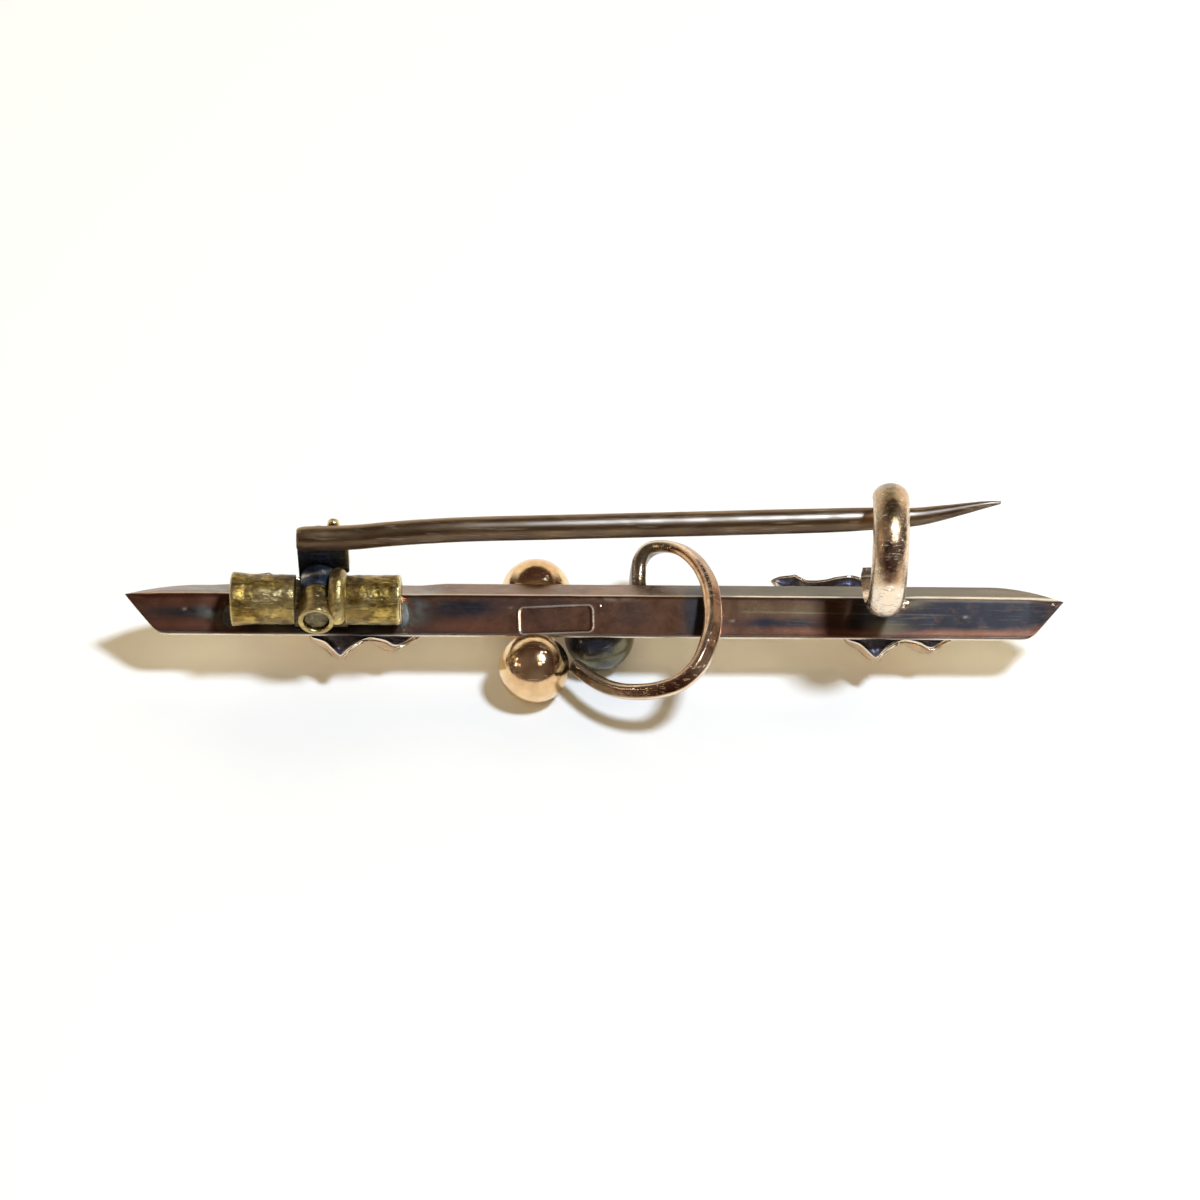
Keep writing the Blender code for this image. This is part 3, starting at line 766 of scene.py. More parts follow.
# Cast and drawn brass hinge tube, pitted by age: yellow metal with brown pits.
BRASS_PITTED = aged_metal(
    "brass_tube_pitted", "#d9b964", "#8d6e33", "#2f2210", "#564b34",
    0.75, 0.20, (0.26, 0.42), wear_and_sheen="#fbe6a4", grain=(0.55, 1.0, 1.0), dents=0.06, specked=0.75,
)
# Tin and lead solder from an old repair: dull blue-grey lumps.
SOLDER_GREY = aged_metal(
    "soft_solder_grey", "#807f76", "#666760", "#3f413f", "#5f625c",
    0.5, 0.16, (0.50, 0.62), wear_and_sheen="#d8e0de", scratches=0.1, dents=0.02,
)
# Drawn bronze wire, browned by handling, with long streaks from the drawplate.
BRONZE_DRAWN = aged_metal(
    "bronze_wire_drawn", "#a48a66", "#846a4d", "#46352b", "#5c5246",
    0.9, 0.30, (0.30, 0.42), wear_and_sheen="#f8ecde", grain=(0.2, 1.0, 1.0), dents=0.016,
    specked=0.35, rubbed=0.42,
)
# The tongue's plate: a dull dark blue skin that is painted shade, crossed by a painted light
# line where an edge catches the light.
TONGUE_SHADED = aged_metal(
    "bronze_plate_painted_shade", "#5b6173", "#454b5c", "#282c38", "#303647",
    0.8, 0.25, (0.42, 0.55), wear_and_sheen="#d8cdb4", dents=0.02,
)
# Steel rivet, dull and dark with old oil.
STEEL_DULL = aged_metal(
    "steel_rivet_dull", "#857a5c", "#574e3a", "#2a241a", "#45423a",
    0.6, 0.2, (0.3, 0.42), wear_and_sheen="#a9a28c", dents=0.02,
)


# The bar


def rounded(corners, radii, straight, arc):
    """Points along a path of corners, each corner rounded by its radius."""
    ends = [(Vector(corners[0]), Vector(corners[0]))]
    for before, corner, after, radius in zip(corners, corners[1:], corners[2:], radii):
        c = Vector(corner)
        a, b = Vector(before) - c, Vector(after) - c
        reach = min(radius, a.length * 0.45, b.length * 0.45)
        first = c + (a.normalized() * reach if a.length > 1e-9 else a)
        last = c + (b.normalized() * reach if b.length > 1e-9 else b)
        ends.append((first, last, c))
    ends.append((Vector(corners[-1]), Vector(corners[-1])))
    path = []
    for number, (here, following) in enumerate(zip(ends, ends[1:])):
        start, stop = here[1], following[0]
        count = straight[number]
        path += [start.lerp(stop, i / count) for i in range(count)]
        if len(following) == 3:
            first, last, c = following
            path += [
                first.lerp(c, t).lerp(c.lerp(last, t), t)
                for t in (i / arc for i in range(arc))
            ]
    path.append(ends[-1][0])
    return path


def stamp_height(x, y):
    """Relief of the stamped frame: a raised lip round a sunk, bare field."""
    across, along = y - STAMP_CENTRE[1], x - STAMP_CENTRE[0]
    dx = abs(along + STAMP_SLANT * across) - STAMP_HALF[0] + STAMP_CORNER
    dy = abs(across - STAMP_SLANT * along) - STAMP_HALF[1] + STAMP_CORNER
    out = math.hypot(max(dx, 0.0), max(dy, 0.0)) + min(max(dx, dy), 0.0) - STAMP_CORNER
    lip = STAMP_LIP * bump(out - STAMP_EDGE * 0.6, STAMP_EDGE)
    return lip - STAMP_DEPTH * ease(0.02, -STAMP_EDGE * 1.6, out)


def round_min(a, b, reach):
    """The lower of two numbers, with the corner between them rounded."""
    share = min(1.0, max(0.0, 0.5 + 0.5 * (b - a) / reach))
    return b * (1 - share) + a * share - reach * share * (1 - share)


def bar_section(x):
    """Points (y, z) round the bar at x. The sides close to a point at each end."""
    left = BAR_HALF - abs(x)
    near = BAR_HALF_WIDTH * max(0.0, round_min(left / POINT_LENGTH, 1.0, POINT_ROUND_NEAR))
    far = BAR_HALF_WIDTH * max(0.0, round_min(left / FAR_POINT_LENGTH, 1.0, POINT_ROUND_FAR))
    blunt = ease(*BLUNT_SPAN, x)
    fall = RIDGE_FALL * max(0.0, 1 - left / RIDGE_FALL_LENGTH)
    ridge = RIDGE_RISE - fall + LEFT_RIDGE_RISE * blunt
    # The far facet is a little higher from the hinge to the catch's end
    lift = FAR_EDGE_RISE * ease(*FAR_RISE_SPAN, x) - FAR_DIP * ease(*FAR_DIP_SPAN, x)
    shift = RIDGE_SHIFT * min(1.0, left / POINT_LENGTH)
    near_edge = ridge * (1 - near / BAR_HALF_WIDTH)
    far_edge = lift + (ridge - lift) * (1 - far / BAR_HALF_WIDTH)
    keep = max(0.0, min(1.0, left / POINT_LENGTH)) ** 0.5
    near_foot, far_foot = max(0.0, near - FOOT_INSET), max(0.0, far - FOOT_INSET)
    corners = [
        (0.0, -RIM_DEPTH), (-near_foot, -RIM_DEPTH), (-near, near_edge), (shift, ridge),
        (far, far_edge), (far_foot, -RIM_DEPTH), (0.0, -RIM_DEPTH),
    ]
    foot, edge = EDGE_ROUND * 0.6 * keep, EDGE_ROUND * keep
    radii = [foot, edge, RIDGE_ROUND * (1 + 1.5 * blunt), edge, foot]
    return rounded(corners, radii, SECTION_SIDES, SECTION_CORNER)


def bar_stations():
    """Places along the bar: close together at the stamped frame and the points."""
    places, x = [], -BAR_HALF
    while x < BAR_HALF - 1e-6:
        places.append(x)
        stamped = -STAMP_HALF[0] - 0.3 < x - STAMP_CENTRE[0] < STAMP_HALF[0] + 0.9
        pointed = BAR_HALF - abs(x) < POINT_LENGTH + 0.2
        x += STAMP_STEP if stamped else POINT_STEP if pointed else BAR_STEP
    return [*places, BAR_HALF]


def bar_shape():
    """The bar with its ends undercut, its facets uneven, stamped and nicked."""
    rows = []
    for x in bar_stations():
        row = []
        wave = FILED_WAVE * rough((x, 0.0, 0.0), 2.5, 4.0)
        t = max(0.0, (abs(x) - BAR_HALF + UNDERCUT_REACH) / UNDERCUT_REACH)
        for y, z in bar_section(x):
            top = RIDGE_RISE * (1 - abs(y) / BAR_HALF_WIDTH)
            low = min(1.0, max(0.0, (top - z) / (RIDGE_RISE * t + RIM_DEPTH))) if t > 0 else 0.0
            lean = UNDERCUT * t * low
            if z > -RIM_DEPTH * 0.5:
                z += wave + FILED_GRAIN * rough((x, y, z), 0.9, 2.0)
                if y < -0.02:
                    z += stamp_height(x, y)
                for nick_x, nick_y, radius, depth in NICKS:
                    d = math.hypot(x - nick_x, y - nick_y)
                    if d < 3 * radius:
                        z -= depth * bump(d, radius)
                        z += 0.25 * depth * bump(d - 1.5 * radius, radius * 0.5)
            row.append(Vector((x - math.copysign(lean, x), y, z)))
        rows.append(row)
    return skin(rows, wrap=False, caps=False)


def bar_wear_and_sheen(p, n):
    """Bright where it is rubbed, and with painted highlights and reflections: the ridge, both edges
    and the stamped lip.
    """
    right, middle = ease(*RUBBED_AND_SHEEN_RIGHT, p.x), ease(*RUBBED_AND_SHEEN_MIDDLE, p.x) * ease(*RUBBED_AND_SHEEN_STOP, p.x)
    line = 0.065 + 0.065 * right
    # The ridge's bright line is rubbing and a painted highlight
    ridge = 1.6 * bump(p.y - RIDGE_SHIFT - 0.11, line) * (0.35 + 0.65 * max(middle, right))
    # The near edge's painted reflection is left out in front of the right tube and of the catch, as
    # painted shade there
    hidden = max(bump(p.x + 11.1, 1.7), 0.8 * bump(p.x - 14.6, 1.6))
    # The near edge and the rim below the widest plane are painted bright, as a painted reflection
    # of the table
    near = max(bump(p.y + BAR_HALF_WIDTH, 0.05) * 0.5, 1.3 * ease(-0.02, -0.10, p.z)) * (1 - hidden)
    far = bump(p.y - BAR_HALF_WIDTH, 0.07) * 0.4 * ease(0.0, -6.0, p.x)
    # The stamped lip is rubbed, and painted as a light line
    lip = 0.0
    if p.y < 0 and p.z > 0:
        lip = 0.7 * (max(0.0, stamp_height(p.x, p.y)) / STAMP_LIP) ** 2
    scribed = bump(p.y + 0.58 + 0.01 * (p.x - 12.0), 0.03) * ease(6.5, 7.5, p.x)
    scribed *= 0.05 * ease(18.0, 16.0, p.x) + 0.1 * ease(*RUBBED_AND_SHEEN_STOP, p.x)
    spot = 0.4 * bump(p.x - 0.7, 1.1) * bump(p.y - 0.02, 0.10) * ease(-0.3, 0.3, rough(p, 0.4, 8.0))
    nicks = max(bump(math.hypot(p.x - x, p.y - y), r * 0.9) for x, y, r, depth in NICKS)
    return ridge + near + far + lip + scribed + spot + nicks * 0.4


# Stains on the bar, in which the strength of each fades out from x and y. The rows at 4.7 and
# -13.0 are painted shade, beside the tendril and under the hinge tubes, and the row at 12.9 is
# partly a stain and partly a painted reflection of the catch.
BAR_STAINS_AND_SHADE = (
    # x, y, reach along, reach across, film and shade, grime and shade
    (4.7, -0.6, 0.55, 1.4, 1.0, 0.9),
    (8.8, -1.05, 2.6, 0.28, 0.9, 0.4),
    (12.9, -0.4, 0.8, 0.6, 0.9, 0.5),
    (13.8, -1.2, 1.8, 0.35, 1.2, 0.5),
    (18.4, -0.55, 4.2, 0.85, 1.7, 0.4),
    (-19.4, -0.72, 2.6, 0.26, 1.0, 0.1),
    (-13.0, -1.25, 5.0, 0.60, 0.9, 0.9),
    (-6.3, -0.45, 2.0, 0.45, 1.2, 0.3),
    (-2.0, -0.2, 3.0, 0.15, 0.5, 0.2),
    (1.6, -0.7, 1.1, 0.5, 0.4, 0.4),
    (5.4, 0.9, 1.6, 0.7, 0.4, 0.5),
    (9.6, 1.0, 3.6, 0.8, 0.9, 0.2),
    (19.5, 1.6, 3.5, 0.25, 0.8, 0.4),
)
BAR_FROST = (
    # x, y, reach along, reach across, strength
    (-18.1, -0.55, 0.75, 0.75, 1.0),
    (-17.9, -1.25, 0.5, 0.4, 1.0),
    (-18.3, 0.7, 1.3, 0.5, 1.0),
    (-8.55, -0.5, 0.55, 0.9, 1.0),
    (-8.2, 0.6, 0.9, 0.5, 1.0),
)
BAR_OLIVE = (
    # x, y, reach along, reach across, strength
    (9.0, -0.42, 2.8, 0.30, 0.6),
    (14.0, -1.20, 0.9, 0.30, 0.8),
    (15.2, -0.05, 0.6, 0.25, 0.7),
)
# Navy patches: the rows at 5.15 and -12.0 are painted shade, beside the tendril and under the hinge
# tubes, and the row at 13.0 is partly a painted reflection of the catch
BAR_NAVY = (
    # x, y, reach along, reach across, strength
    (5.15, -0.70, 0.30, 1.2, 1.3),
    (8.1, -1.00, 0.45, 0.28, 1.0),
    (-12.0, -1.35, 3.0, 0.35, 1.2),
    (13.0, -0.6, 0.7, 0.5, 0.8),
)
BAR_PLUM = (
    # x, y, reach along, reach across, strength
    (17.5, -1.50, 4.0, 0.16, 0.6),
    (-6.0, -1.30, 2.6, 0.30, 0.7),
    (-20.0, -0.12, 2.2, 0.30, 1.3),
    (-19.8, -1.30, 2.6, 0.25, 0.8),
    (10.5, -1.45, 2.4, 0.16, 0.6),
)


def patch_strength(p, rows, column=4):
    """How strongly the patches in the rows lie on p, by the strength in the column."""
    return sum(
        row[column] * bump((p.x - row[0]) / row[2], 1.0) * bump((p.y - row[1]) / row[3], 1.0)
        for row in rows
    )


def bar_grime_and_shade(p, n):
    """Soot, and painted shade, in the stains, a dark line each side of the ridge's bright line, and
    one just inside the near edge.
    """
    line = bump(abs(p.y - RIDGE_SHIFT - 0.09) - 0.19, 0.05) * ease(6.2, 7.0, p.x)
    edge = 0.8 * bump(p.y + BAR_HALF_WIDTH - 0.10, 0.06)
    return patch_strength(p, BAR_STAINS_AND_SHADE, 5) + 0.8 * line + edge


def bar_frost(p, n):
    """A grey bloom that the soldering left beside the hinge."""
    return ease(-0.1, 0.5, rough(p, 0.45, 2.0) + 0.25) * patch_strength(p, BAR_FROST)


def bar_olive(p, n):
    """A greenish tarnish on most of the far facet."""
    return ease(0.30, 0.45, p.y) * (0.25 + 0.6 * ease(2.0, 7.0, p.x)) + patch_strength(p, BAR_OLIVE)


bar = settle("bar", bar_shape(), GOLD_FILED, {
    "worn_and_sheen": bar_wear_and_sheen, "film_and_shade": lambda p, n: patch_strength(p, BAR_STAINS_AND_SHADE), "grime_and_shade": bar_grime_and_shade,
    "frost": bar_frost, "olive": bar_olive, "navy": lambda p, n: patch_strength(p, BAR_NAVY),
    "plum": lambda p, n: patch_strength(p, BAR_PLUM),
})
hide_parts("brooch_frame")


# Berries


def berry_shape(x, y):
    """A hammered ball, a little uneven."""
    def place(out):
        dent = 0.010 * rough(out * 2, 1.0, x) + 0.004 * rough(out * 7, 1.0, y) - 0.012
        return Vector((x, y, -BERRY_DROP)) + out * (BERRY_RADIUS + dent)

    return ball(place, rings=64, sides=96)


def shade_against_bar(p, n):
    """Painted shade where a berry nestles against the bar."""
    return 0.9 * ease(2.1, 1.2, abs(p.y)) * ease(-1.7, -0.6, p.z)


def shade_under_bar(p, n):
    """Painted shade on the berry that lies under the bar, strongest where it faces up towards the
    bar.
    """
    return 1.2 * ease(-0.90, -0.45, n.y + n.z) * ease(0.60, 0.20, n.x) + 0.1


def shaded_side(p, n):
    """Painted shade on the near berry's side towards the tendril, where it mirrors the shaded
    table.
    """
    return 0.8 * ease(0.25, 0.75, n.x) * ease(-0.6, 0.0, n.y + n.z)


for berry_name, berry_x, berry_y in BERRIES:
    under = berry_name == "berry_under"
    berry_paints = {"grime_and_shade": shade_under_bar if under else shade_against_bar}
    if berry_name == "berry_near":
        berry_paints["olive"] = shaded_side
    settle(
        berry_name, berry_shape(berry_x, berry_y), GOLD_SHADED if under else GOLD_POLISHED,
        berry_paints,
    )


# Leaves


def leaf_edge(table, side):
    """Points (along, across, height, turned) of one side of the leaf, in millimetres."""
    rows = np.array([tuple(r) for r in smooth_route(table, 6)])
    return rows * (LEAF_LENGTH, side * LEAF_WIDTH / 2, 1.0, 1.0)


def leaf_shape(x, y, rows=170, columns=44):
    """The hollow back of the pressing: a gutter inside a rim, and a raised midrib."""
    near, far = leaf_edge(LEAF_NEAR, -1), leaf_edge(LEAF_FAR, 1)
    along = np.linspace(near[0, 0], near[-1, 0], rows + 1)
    low = np.interp(along, near[:, 0], near[:, 1])
    high = np.maximum(np.interp(along, far[:, 0], far[:, 1]), low + 0.03)
    share = np.linspace(0.0, 1.0, columns + 1)
    across = low[:, None] + (high - low)[:, None] * share
    a = np.repeat(along[:, None], columns + 1, axis=1)

    # Distance to the nearest point of the rim, and how high the rim is there
    rim = np.concatenate([
        np.stack([along, low, np.interp(along, near[:, 0], near[:, 2])], 1),
        np.stack([along, high, np.interp(along, far[:, 0], far[:, 2])], 1),
    ])
    flat = np.stack([a.ravel(), across.ravel()], 1)
    gaps = np.linalg.norm(flat[:, None, :] - rim[None, :, :2], axis=2)
    nearest = gaps.argmin(1)
    gap = gaps[np.arange(len(flat)), nearest].reshape(a.shape)
    rim_height = rim[nearest, 2].reshape(a.shape)

    # Where the leaf is less than a millimetre wide, its gutter is shallower
    room = np.minimum(1.0, (high - low)[:, None])
    sunk = rim_height - GUTTER_DEPTH * room
    fall = np.interp(along, [r[0] * LEAF_LENGTH for r in LEAF_SPINE], [r[1] for r in LEAF_SPINE])
    spine = -RIM_DEPTH + LEAF_SOLDER - LEAF_FALL * fall[:, None]
    t = np.clip((gap - GUTTER_WIDTH) / (GUTTER_REACH - GUTTER_WIDTH), 0.0, 1.0)
    t = t * t * (3 - 2 * t)
    height = sunk * (1 - t) + spine * t
    height += GUTTER_DEPTH * room * np.clip(1 - gap / GUTTER_WIDTH, 0.0, 1.0) ** 2
    inside = np.clip(gap / VEIN_FADE, 0.0, 1.0)
    height += inside * VEIN_RISE * np.exp(-(across / (VEIN_WIDTH * 1.3)) ** 2)
    for start, stop, side in LEAF_VEINS:
        run = np.clip(side * across / (LEAF_WIDTH / 2), 0.0, 1.0)
        line = (start + (stop - start) * run) * LEAF_LENGTH - a
        height += inside * (run > 0) * VEIN_RISE * np.exp(-(line / VEIN_WIDTH) ** 2)

    # The edge is turned down in places, which shows the polished front from behind
    turns = [np.clip(np.interp(along, side[:, 0], side[:, 3]), 0.02, 2.0) for side in (near, far)]
    place = Matrix.Translation((x, y, 0.0)) @ Matrix.Rotation(LEAF_TURN, 4, "Z")
    grid = []
    for i in range(rows + 1):
        line = [Vector((a[i, j], across[i, j], height[i, j])) for j in range(columns + 1)]
        for p in line:
            p.z += 0.02 * rough(p, 0.6, 6.0) + 0.008 * rough(p, 0.2, 3.0)
        for end, way, turn in ((0, -1, turns[0][i]), (-1, 1, turns[1][i])):
            crest = line[end]
            fold = [
                crest + Vector((0.0, way * TURN_WIDTH * turn * s, -TURN_DROP * turn * s))
                for s in (0.35, 0.7, 1.0)
            ]
            line = [*reversed(fold), *line] if end == 0 else [*line, *fold]
        grid.append([place @ p for p in line])
    return skin(grid, wrap=False, caps=False), grid


def leaf_piece(name, x, y):
    """The pressing's back and turned edges, given a wall with the polished front."""
    bm, grid = leaf_shape(x, y)
    if sum(face.normal.z for face in bm.faces) < 0:
        bmesh.ops.reverse_faces(bm, faces=bm.faces)
    crests = np.array([tuple(p) for line in grid for p in (line[3], line[-4])])
    turned = np.array([tuple(p) for line in grid for p in (*line[:3], *line[-3:])])

    def apart(points, p):
        return float(np.sqrt(((points - tuple(p)) ** 2).sum(1).min()))

    for face in bm.faces:
        if all(apart(turned, v.co) < 1e-3 or apart(crests, v.co) < 1e-3 for v in face.verts):
            face.material_index = 1
    # The crests are painted bright, as a painted reflection of the table, and the film over the
    # back is painted shade under the bar
    leaf = settle(name, bm, GOLD_PRESSED, {
        "worn_and_sheen": lambda p, n: ease(0.08, 0.02, apart(crests, p)),
        "film_and_shade": lambda p, n: 0.5 + 0.6 * rough(p, 1.2, 9.0),
    }, sharp=50.0)
    # The other side is the polished front of the leaf
    leaf.data.materials.append(GOLD_POLISHED)
    sheet = leaf.modifiers.new("sheet", "SOLIDIFY")
    sheet.thickness = LEAF_SHEET * MM
    sheet.offset = -1.0
    sheet.use_rim = True
    sheet.material_offset = 1
    sheet.material_offset_rim = 1


for leaf_name, leaf_x, leaf_y in LEAVES:
    leaf_piece(leaf_name, leaf_x, leaf_y)


# Tendril, catch and strap

STRIP = strip_tree()


def tendril_rows():
    """Centre, thickness and the way that the flat back faces, along the wire."""
    rows = smooth_route([
        (
            TENDRIL_X + along * TENDRIL_SPAN,
            out * (TENDRIL_NEAR if out < 0 else TENDRIL_FAR),
            up * TENDRIL_RISE, thick,
        )
        for along, out, up, thick in TENDRIL_ROUTE
    ], 10)
    points = [r.to_3d() for r in rows]
    middle = Vector((TENDRIL_X, 0.0, 0.0))
    outs = []
    for i, p in enumerate(points):
        run = (points[min(i + 1, len(points) - 1)] - points[max(i - 1, 0)]).normalized()
        side = Vector((0.0, 0.0, 1.0)) * 0.6 + (p - middle).normalized() * 0.8
        outs.append((side - run * side.dot(run)).normalized())
    return points, [r[3] for r in rows], outs


TENDRIL_POINTS, TENDRIL_SIZES, TENDRIL_OUTS = tendril_rows()
# The points again, as an array in which the nearest one is found
TENDRIL_PLACES = np.array([tuple(p) for p in TENDRIL_POINTS])


def tendril_facing(p, n):
    """How squarely the surface at p faces the way of the wire's flat back, 1 to -1."""
    place = int(((TENDRIL_PLACES - tuple(p)) ** 2).sum(1).argmin())
    return n.dot(TENDRIL_OUTS[place])


def tendril_grime_and_shade(p, n):
    """Darker in the far loop and at the end by the berries, and painted shade underneath."""
    far = ease(2.0, 3.2, p.y) * ease(3.6, 2.4, p.x)
    end = ease(0.9, -0.6, p.x) * ease(-1.5, -3.0, p.y)
    return 0.6 * far + 0.5 * end + 0.5 * ease(-0.2, -0.9, n.z)


def tendril_olive(p, n):
    """Brown-green in the same two places."""
    far = ease(1.2, 2.4, p.y) * ease(4.4, 3.0, p.x)
    end = ease(1.6, 0.2, p.x) * ease(-1.5, -3.0, p.y)
    return 0.9 * max(far, end)


def tendril_plum(p, n):
    """A red-brown stripe that was never rubbed along the wire's back."""
    stripe = ease(0.90, 0.97, tendril_facing(p, n) + 0.03 * rough(p, 0.5, 4.0))
    return stripe * (0.55 + 0.55 * ease(-0.3, 0.5, rough(p, 1.6, 6.0)))


def tendril_worn(p, n):
    """Both shoulders of the wire are rubbed bright."""
    return 0.9 * bump(tendril_facing(p, n) - 0.66, 0.16)


settle(
    "tendril", strip_mesh(
        "tendril", STRIP, TENDRIL_POINTS, TENDRIL_OUTS, TENDRIL_SIZES, GOLD_RUBBED,
        Width=TENDRIL_RADIUS, Height=TENDRIL_RADIUS * TENDRIL_DEPTH, Flat=TENDRIL_FLAT,
        Top=TENDRIL_TOP,
    ), GOLD_RUBBED,
    {"grime_and_shade": tendril_grime_and_shade, "plum": tendril_plum, "olive": tendril_olive, "worn_and_sheen": tendril_worn},
    soft=0.05,
)


def ring_mesh(name, middle, radius, start, end, steps, skew, width, wall, taper, material):
    """A half-round strip bent round an axis along X, with its back facing outwards.

    It drifts by skew along the axis, and its two ends are thinner by taper.
    """
    points, outs, sizes = [], [], []
    for step in range(steps + 1):
        t = step / steps
        angle = start + (end - start) * t
        out = Vector((0.0, math.cos(angle), math.sin(angle)))
        points.append(Vector(middle) + Vector((-skew * t, 0.0, 0.0)) + out * radius)
        outs.append(out)
        sizes.append(1.0 - taper * ease(0.04, 0.0, min(t, 1 - t)))
    return strip_mesh(
        name, STRIP, points, outs, sizes, material, Width=width / 2, Height=wall, Flat=0.0, Top=1.0,
    )


def catch_grime_and_shade(p, n):
    """Darker on the inside and on the end that lies on the bar, and painted shade on the left side,
    away from the lamp.
    """
    inside = ease(-0.2, 0.8, p.y) * ease(3.6, 2.8, p.z)
    return 1.2 * inside + 0.25 * ease(0.0, -0.6, n.x) * ease(3.0, 5.0, p.z)


def catch_plum(p, n):
    """A purple-brown streak halfway up the outside, and a thin one at its right."""
    height = p.y + p.z
    middle = bump(p.x - CATCH_X + 0.24 + 0.10 * rough(p, 0.8, 2.0), 0.34)
    middle *= ease(1.6, 2.3, height) * ease(5.1, 4.3, height)
    thin = bump(p.x - CATCH_X - 0.46, 0.09) * ease(1.2, 1.8, height) * ease(3.7, 3.0, height)
    return 1.3 * middle + 0.9 * thin


def catch_olive(p, n):
    """Yellow-brown where the pin has scuffed the top."""
    middle = bump(p.x - CATCH_X + 0.15 + 0.15 * rough(p, 0.5, 7.0), 0.36)
    return 1.1 * middle * ease(5.6, 6.6, p.y + p.z)


def catch_worn(p, n):
    """Clean metal at the foot and along both rims."""
    foot = 0.8 * ease(2.2, 1.4, p.y + p.z) * ease(0.5, -0.5, p.y)
    return foot + 0.5 * ease(0.55, 0.85, abs(n.x)) * ease(0.5, -0.5, p.y)


settle(
    "catch", ring_mesh(
        "catch", (CATCH_X, 0.0, RIDGE_RISE + CATCH_LIFT + CATCH_RADIUS), CATCH_RADIUS - CATCH_WALL,
        CATCH_UPPER_END, CATCH_LOWER_END + 2 * math.pi, CATCH_STEPS, CATCH_SKEW, CATCH_STRIP,
        CATCH_WALL, CATCH_TAPER, GOLD_SCUFFED,
    ), GOLD_SCUFFED,
    {"grime_and_shade": catch_grime_and_shade, "plum": catch_plum, "olive": catch_olive, "worn_and_sheen": catch_worn},
    soft=0.10, rounds=3,
)
settle(
    "stop_strap", ring_mesh(
        "stop_strap", (HINGE_X + STRAP_X, TUBE_Y, HINGE_RISE), TUBE_RADIUS * 0.85,
        STRAP_START, STRAP_END, STRAP_STEPS, 0.0, STRAP_WIDTH,
        STRAP_WALL + TUBE_RADIUS * 0.15, STRAP_TAPER, BRASS_PITTED,
    ), BRASS_PITTED, {"worn_and_sheen": lambda p, n: 0.35 + 0.4 * rough(p, 0.8, 1.0)}, soft=0.05,
)


# Hinge


def lathe_x(profile, y, z, seed, sides=96):
    """A profile of (x, radius) points turned about an axis along X, and pitted."""
    rows = []
    for x, radius in profile:
        row = []
        for c, s in circle(sides):
            out = Vector((0.0, c, s))
            p = Vector((x, y, z)) + out * radius
            dent = rough(p, 0.9, seed) + 0.7 * rough(p, 0.35, seed + 5) + 0.4 * rough(p, 0.15, seed)
            row.append(p + out * TUBE_PITS * (dent - 0.8))
        rows.append(row)
    return skin(rows)


def tube_profile(end, inner, flare, steps=48, arc=16):
    """Tube from its block side to its open end, with a rounded lip and a bore."""
    way = math.copysign(1.0, end - inner)
    length = abs(end - inner) - TUBE_LIP
    outside = [
        (inner + way * length * i / steps, TUBE_RADIUS + flare * (i / steps) ** 4)
        for i in range(steps + 1)
    ]
    wall = (TUBE_RADIUS + flare - TUBE_BORE) * 0.5
    rim = [
        (end - way * TUBE_LIP * (1 - math.sin(a)), TUBE_BORE + wall * (1 + math.cos(a)))
        for a in (math.pi * i / arc for i in range(1, arc + 1))
    ]
    bore = [(end - way * (TUBE_LIP + 0.3 * i), TUBE_BORE) for i in range(1, 7)]
    return outside + rim + bore


def tube_grime_and_shade(p, n):
    """Painted shade underneath and on the far side, darker near the hinge, and soot in the pits on
    top.
    """
    middle = bump(p.x - HINGE_X, 1.9)
    pits = ease(0.15, 0.5, rough(p, 0.42, 4.0)) * ease(-0.3, 0.5, n.z)
    return 0.9 * ease(-0.1, -0.8, n.z) + 0.5 * middle + 0.8 * pits + 0.5 * ease(0.2, 0.9, n.y)


def tube_wear_and_sheen(p, n):
    """A painted highlight along the near shoulder, where the lamp glances off it, and rubbed lips.
    """
    shoulder = bump(n.y + 0.55, 0.30) * ease(-0.1, 0.3, rough(p, 1.1, 2.0) + 0.15)
    right = bump(p.x - TUBE_RIGHT_END + TUBE_LIP / 2, 0.12)
    return 0.75 * shoulder + 0.9 * max(right, 0.5 * bump(p.x - TUBE_LEFT_END, 0.12))


for tube_name, tube_end, tube_inner, tube_flare, tube_seed in (
    ("tube_left", TUBE_LEFT_END, HINGE_X - BLOCK_LEFT, 0.12, 3.0),
    ("tube_right", TUBE_RIGHT_END, HINGE_X + BLOCK_RIGHT, 0.02, 8.0),
):
    tube = tube_profile(tube_end, tube_inner, tube_flare)
    settle(
        tube_name, lathe_x(tube, TUBE_Y, HINGE_RISE, tube_seed), BRASS_PITTED,
        {"grime_and_shade": tube_grime_and_shade, "worn_and_sheen": tube_wear_and_sheen},
    )


def knuckle_profile(arc=12, steps=24):
    """A short tube whose near mouth is rounded, with the rivet in its bore."""
    lip, near = KNUCKLE_LIP, KNUCKLE_NEAR_Y
    bore = RIVET_RADIUS + RIVET_GAP
    wall = (KNUCKLE_RADIUS - bore) * 0.5
    inside = [(KNUCKLE_FAR_Y, bore), (near + 1.2, bore), (near + 0.5, bore)]
    rim = [
        (near + lip * (1 - math.sin(a)), bore + wall * (1 - math.cos(a)))
        for a in (math.pi * i / arc for i in range(arc + 1))
    ]
    outside = [
        (
            near + lip + (KNUCKLE_FAR_Y - near - lip) * i / steps,
            KNUCKLE_RADIUS + 0.008 * math.sin(i * 1.3),
        )
        for i in range(1, steps + 1)
    ]
    return inside + rim + outside


def painted_light_line(p, n):
    """A slanting painted highlight across the knuckle and the tongue behind it: the light line of
    an edge.
    """
    level = LIGHT_LINE_LEVEL + LIGHT_LINE_SLANT * (p.x - LIGHT_LINE_X)
    return bump(level - p.y - p.z, LIGHT_LINE_WIDTH)


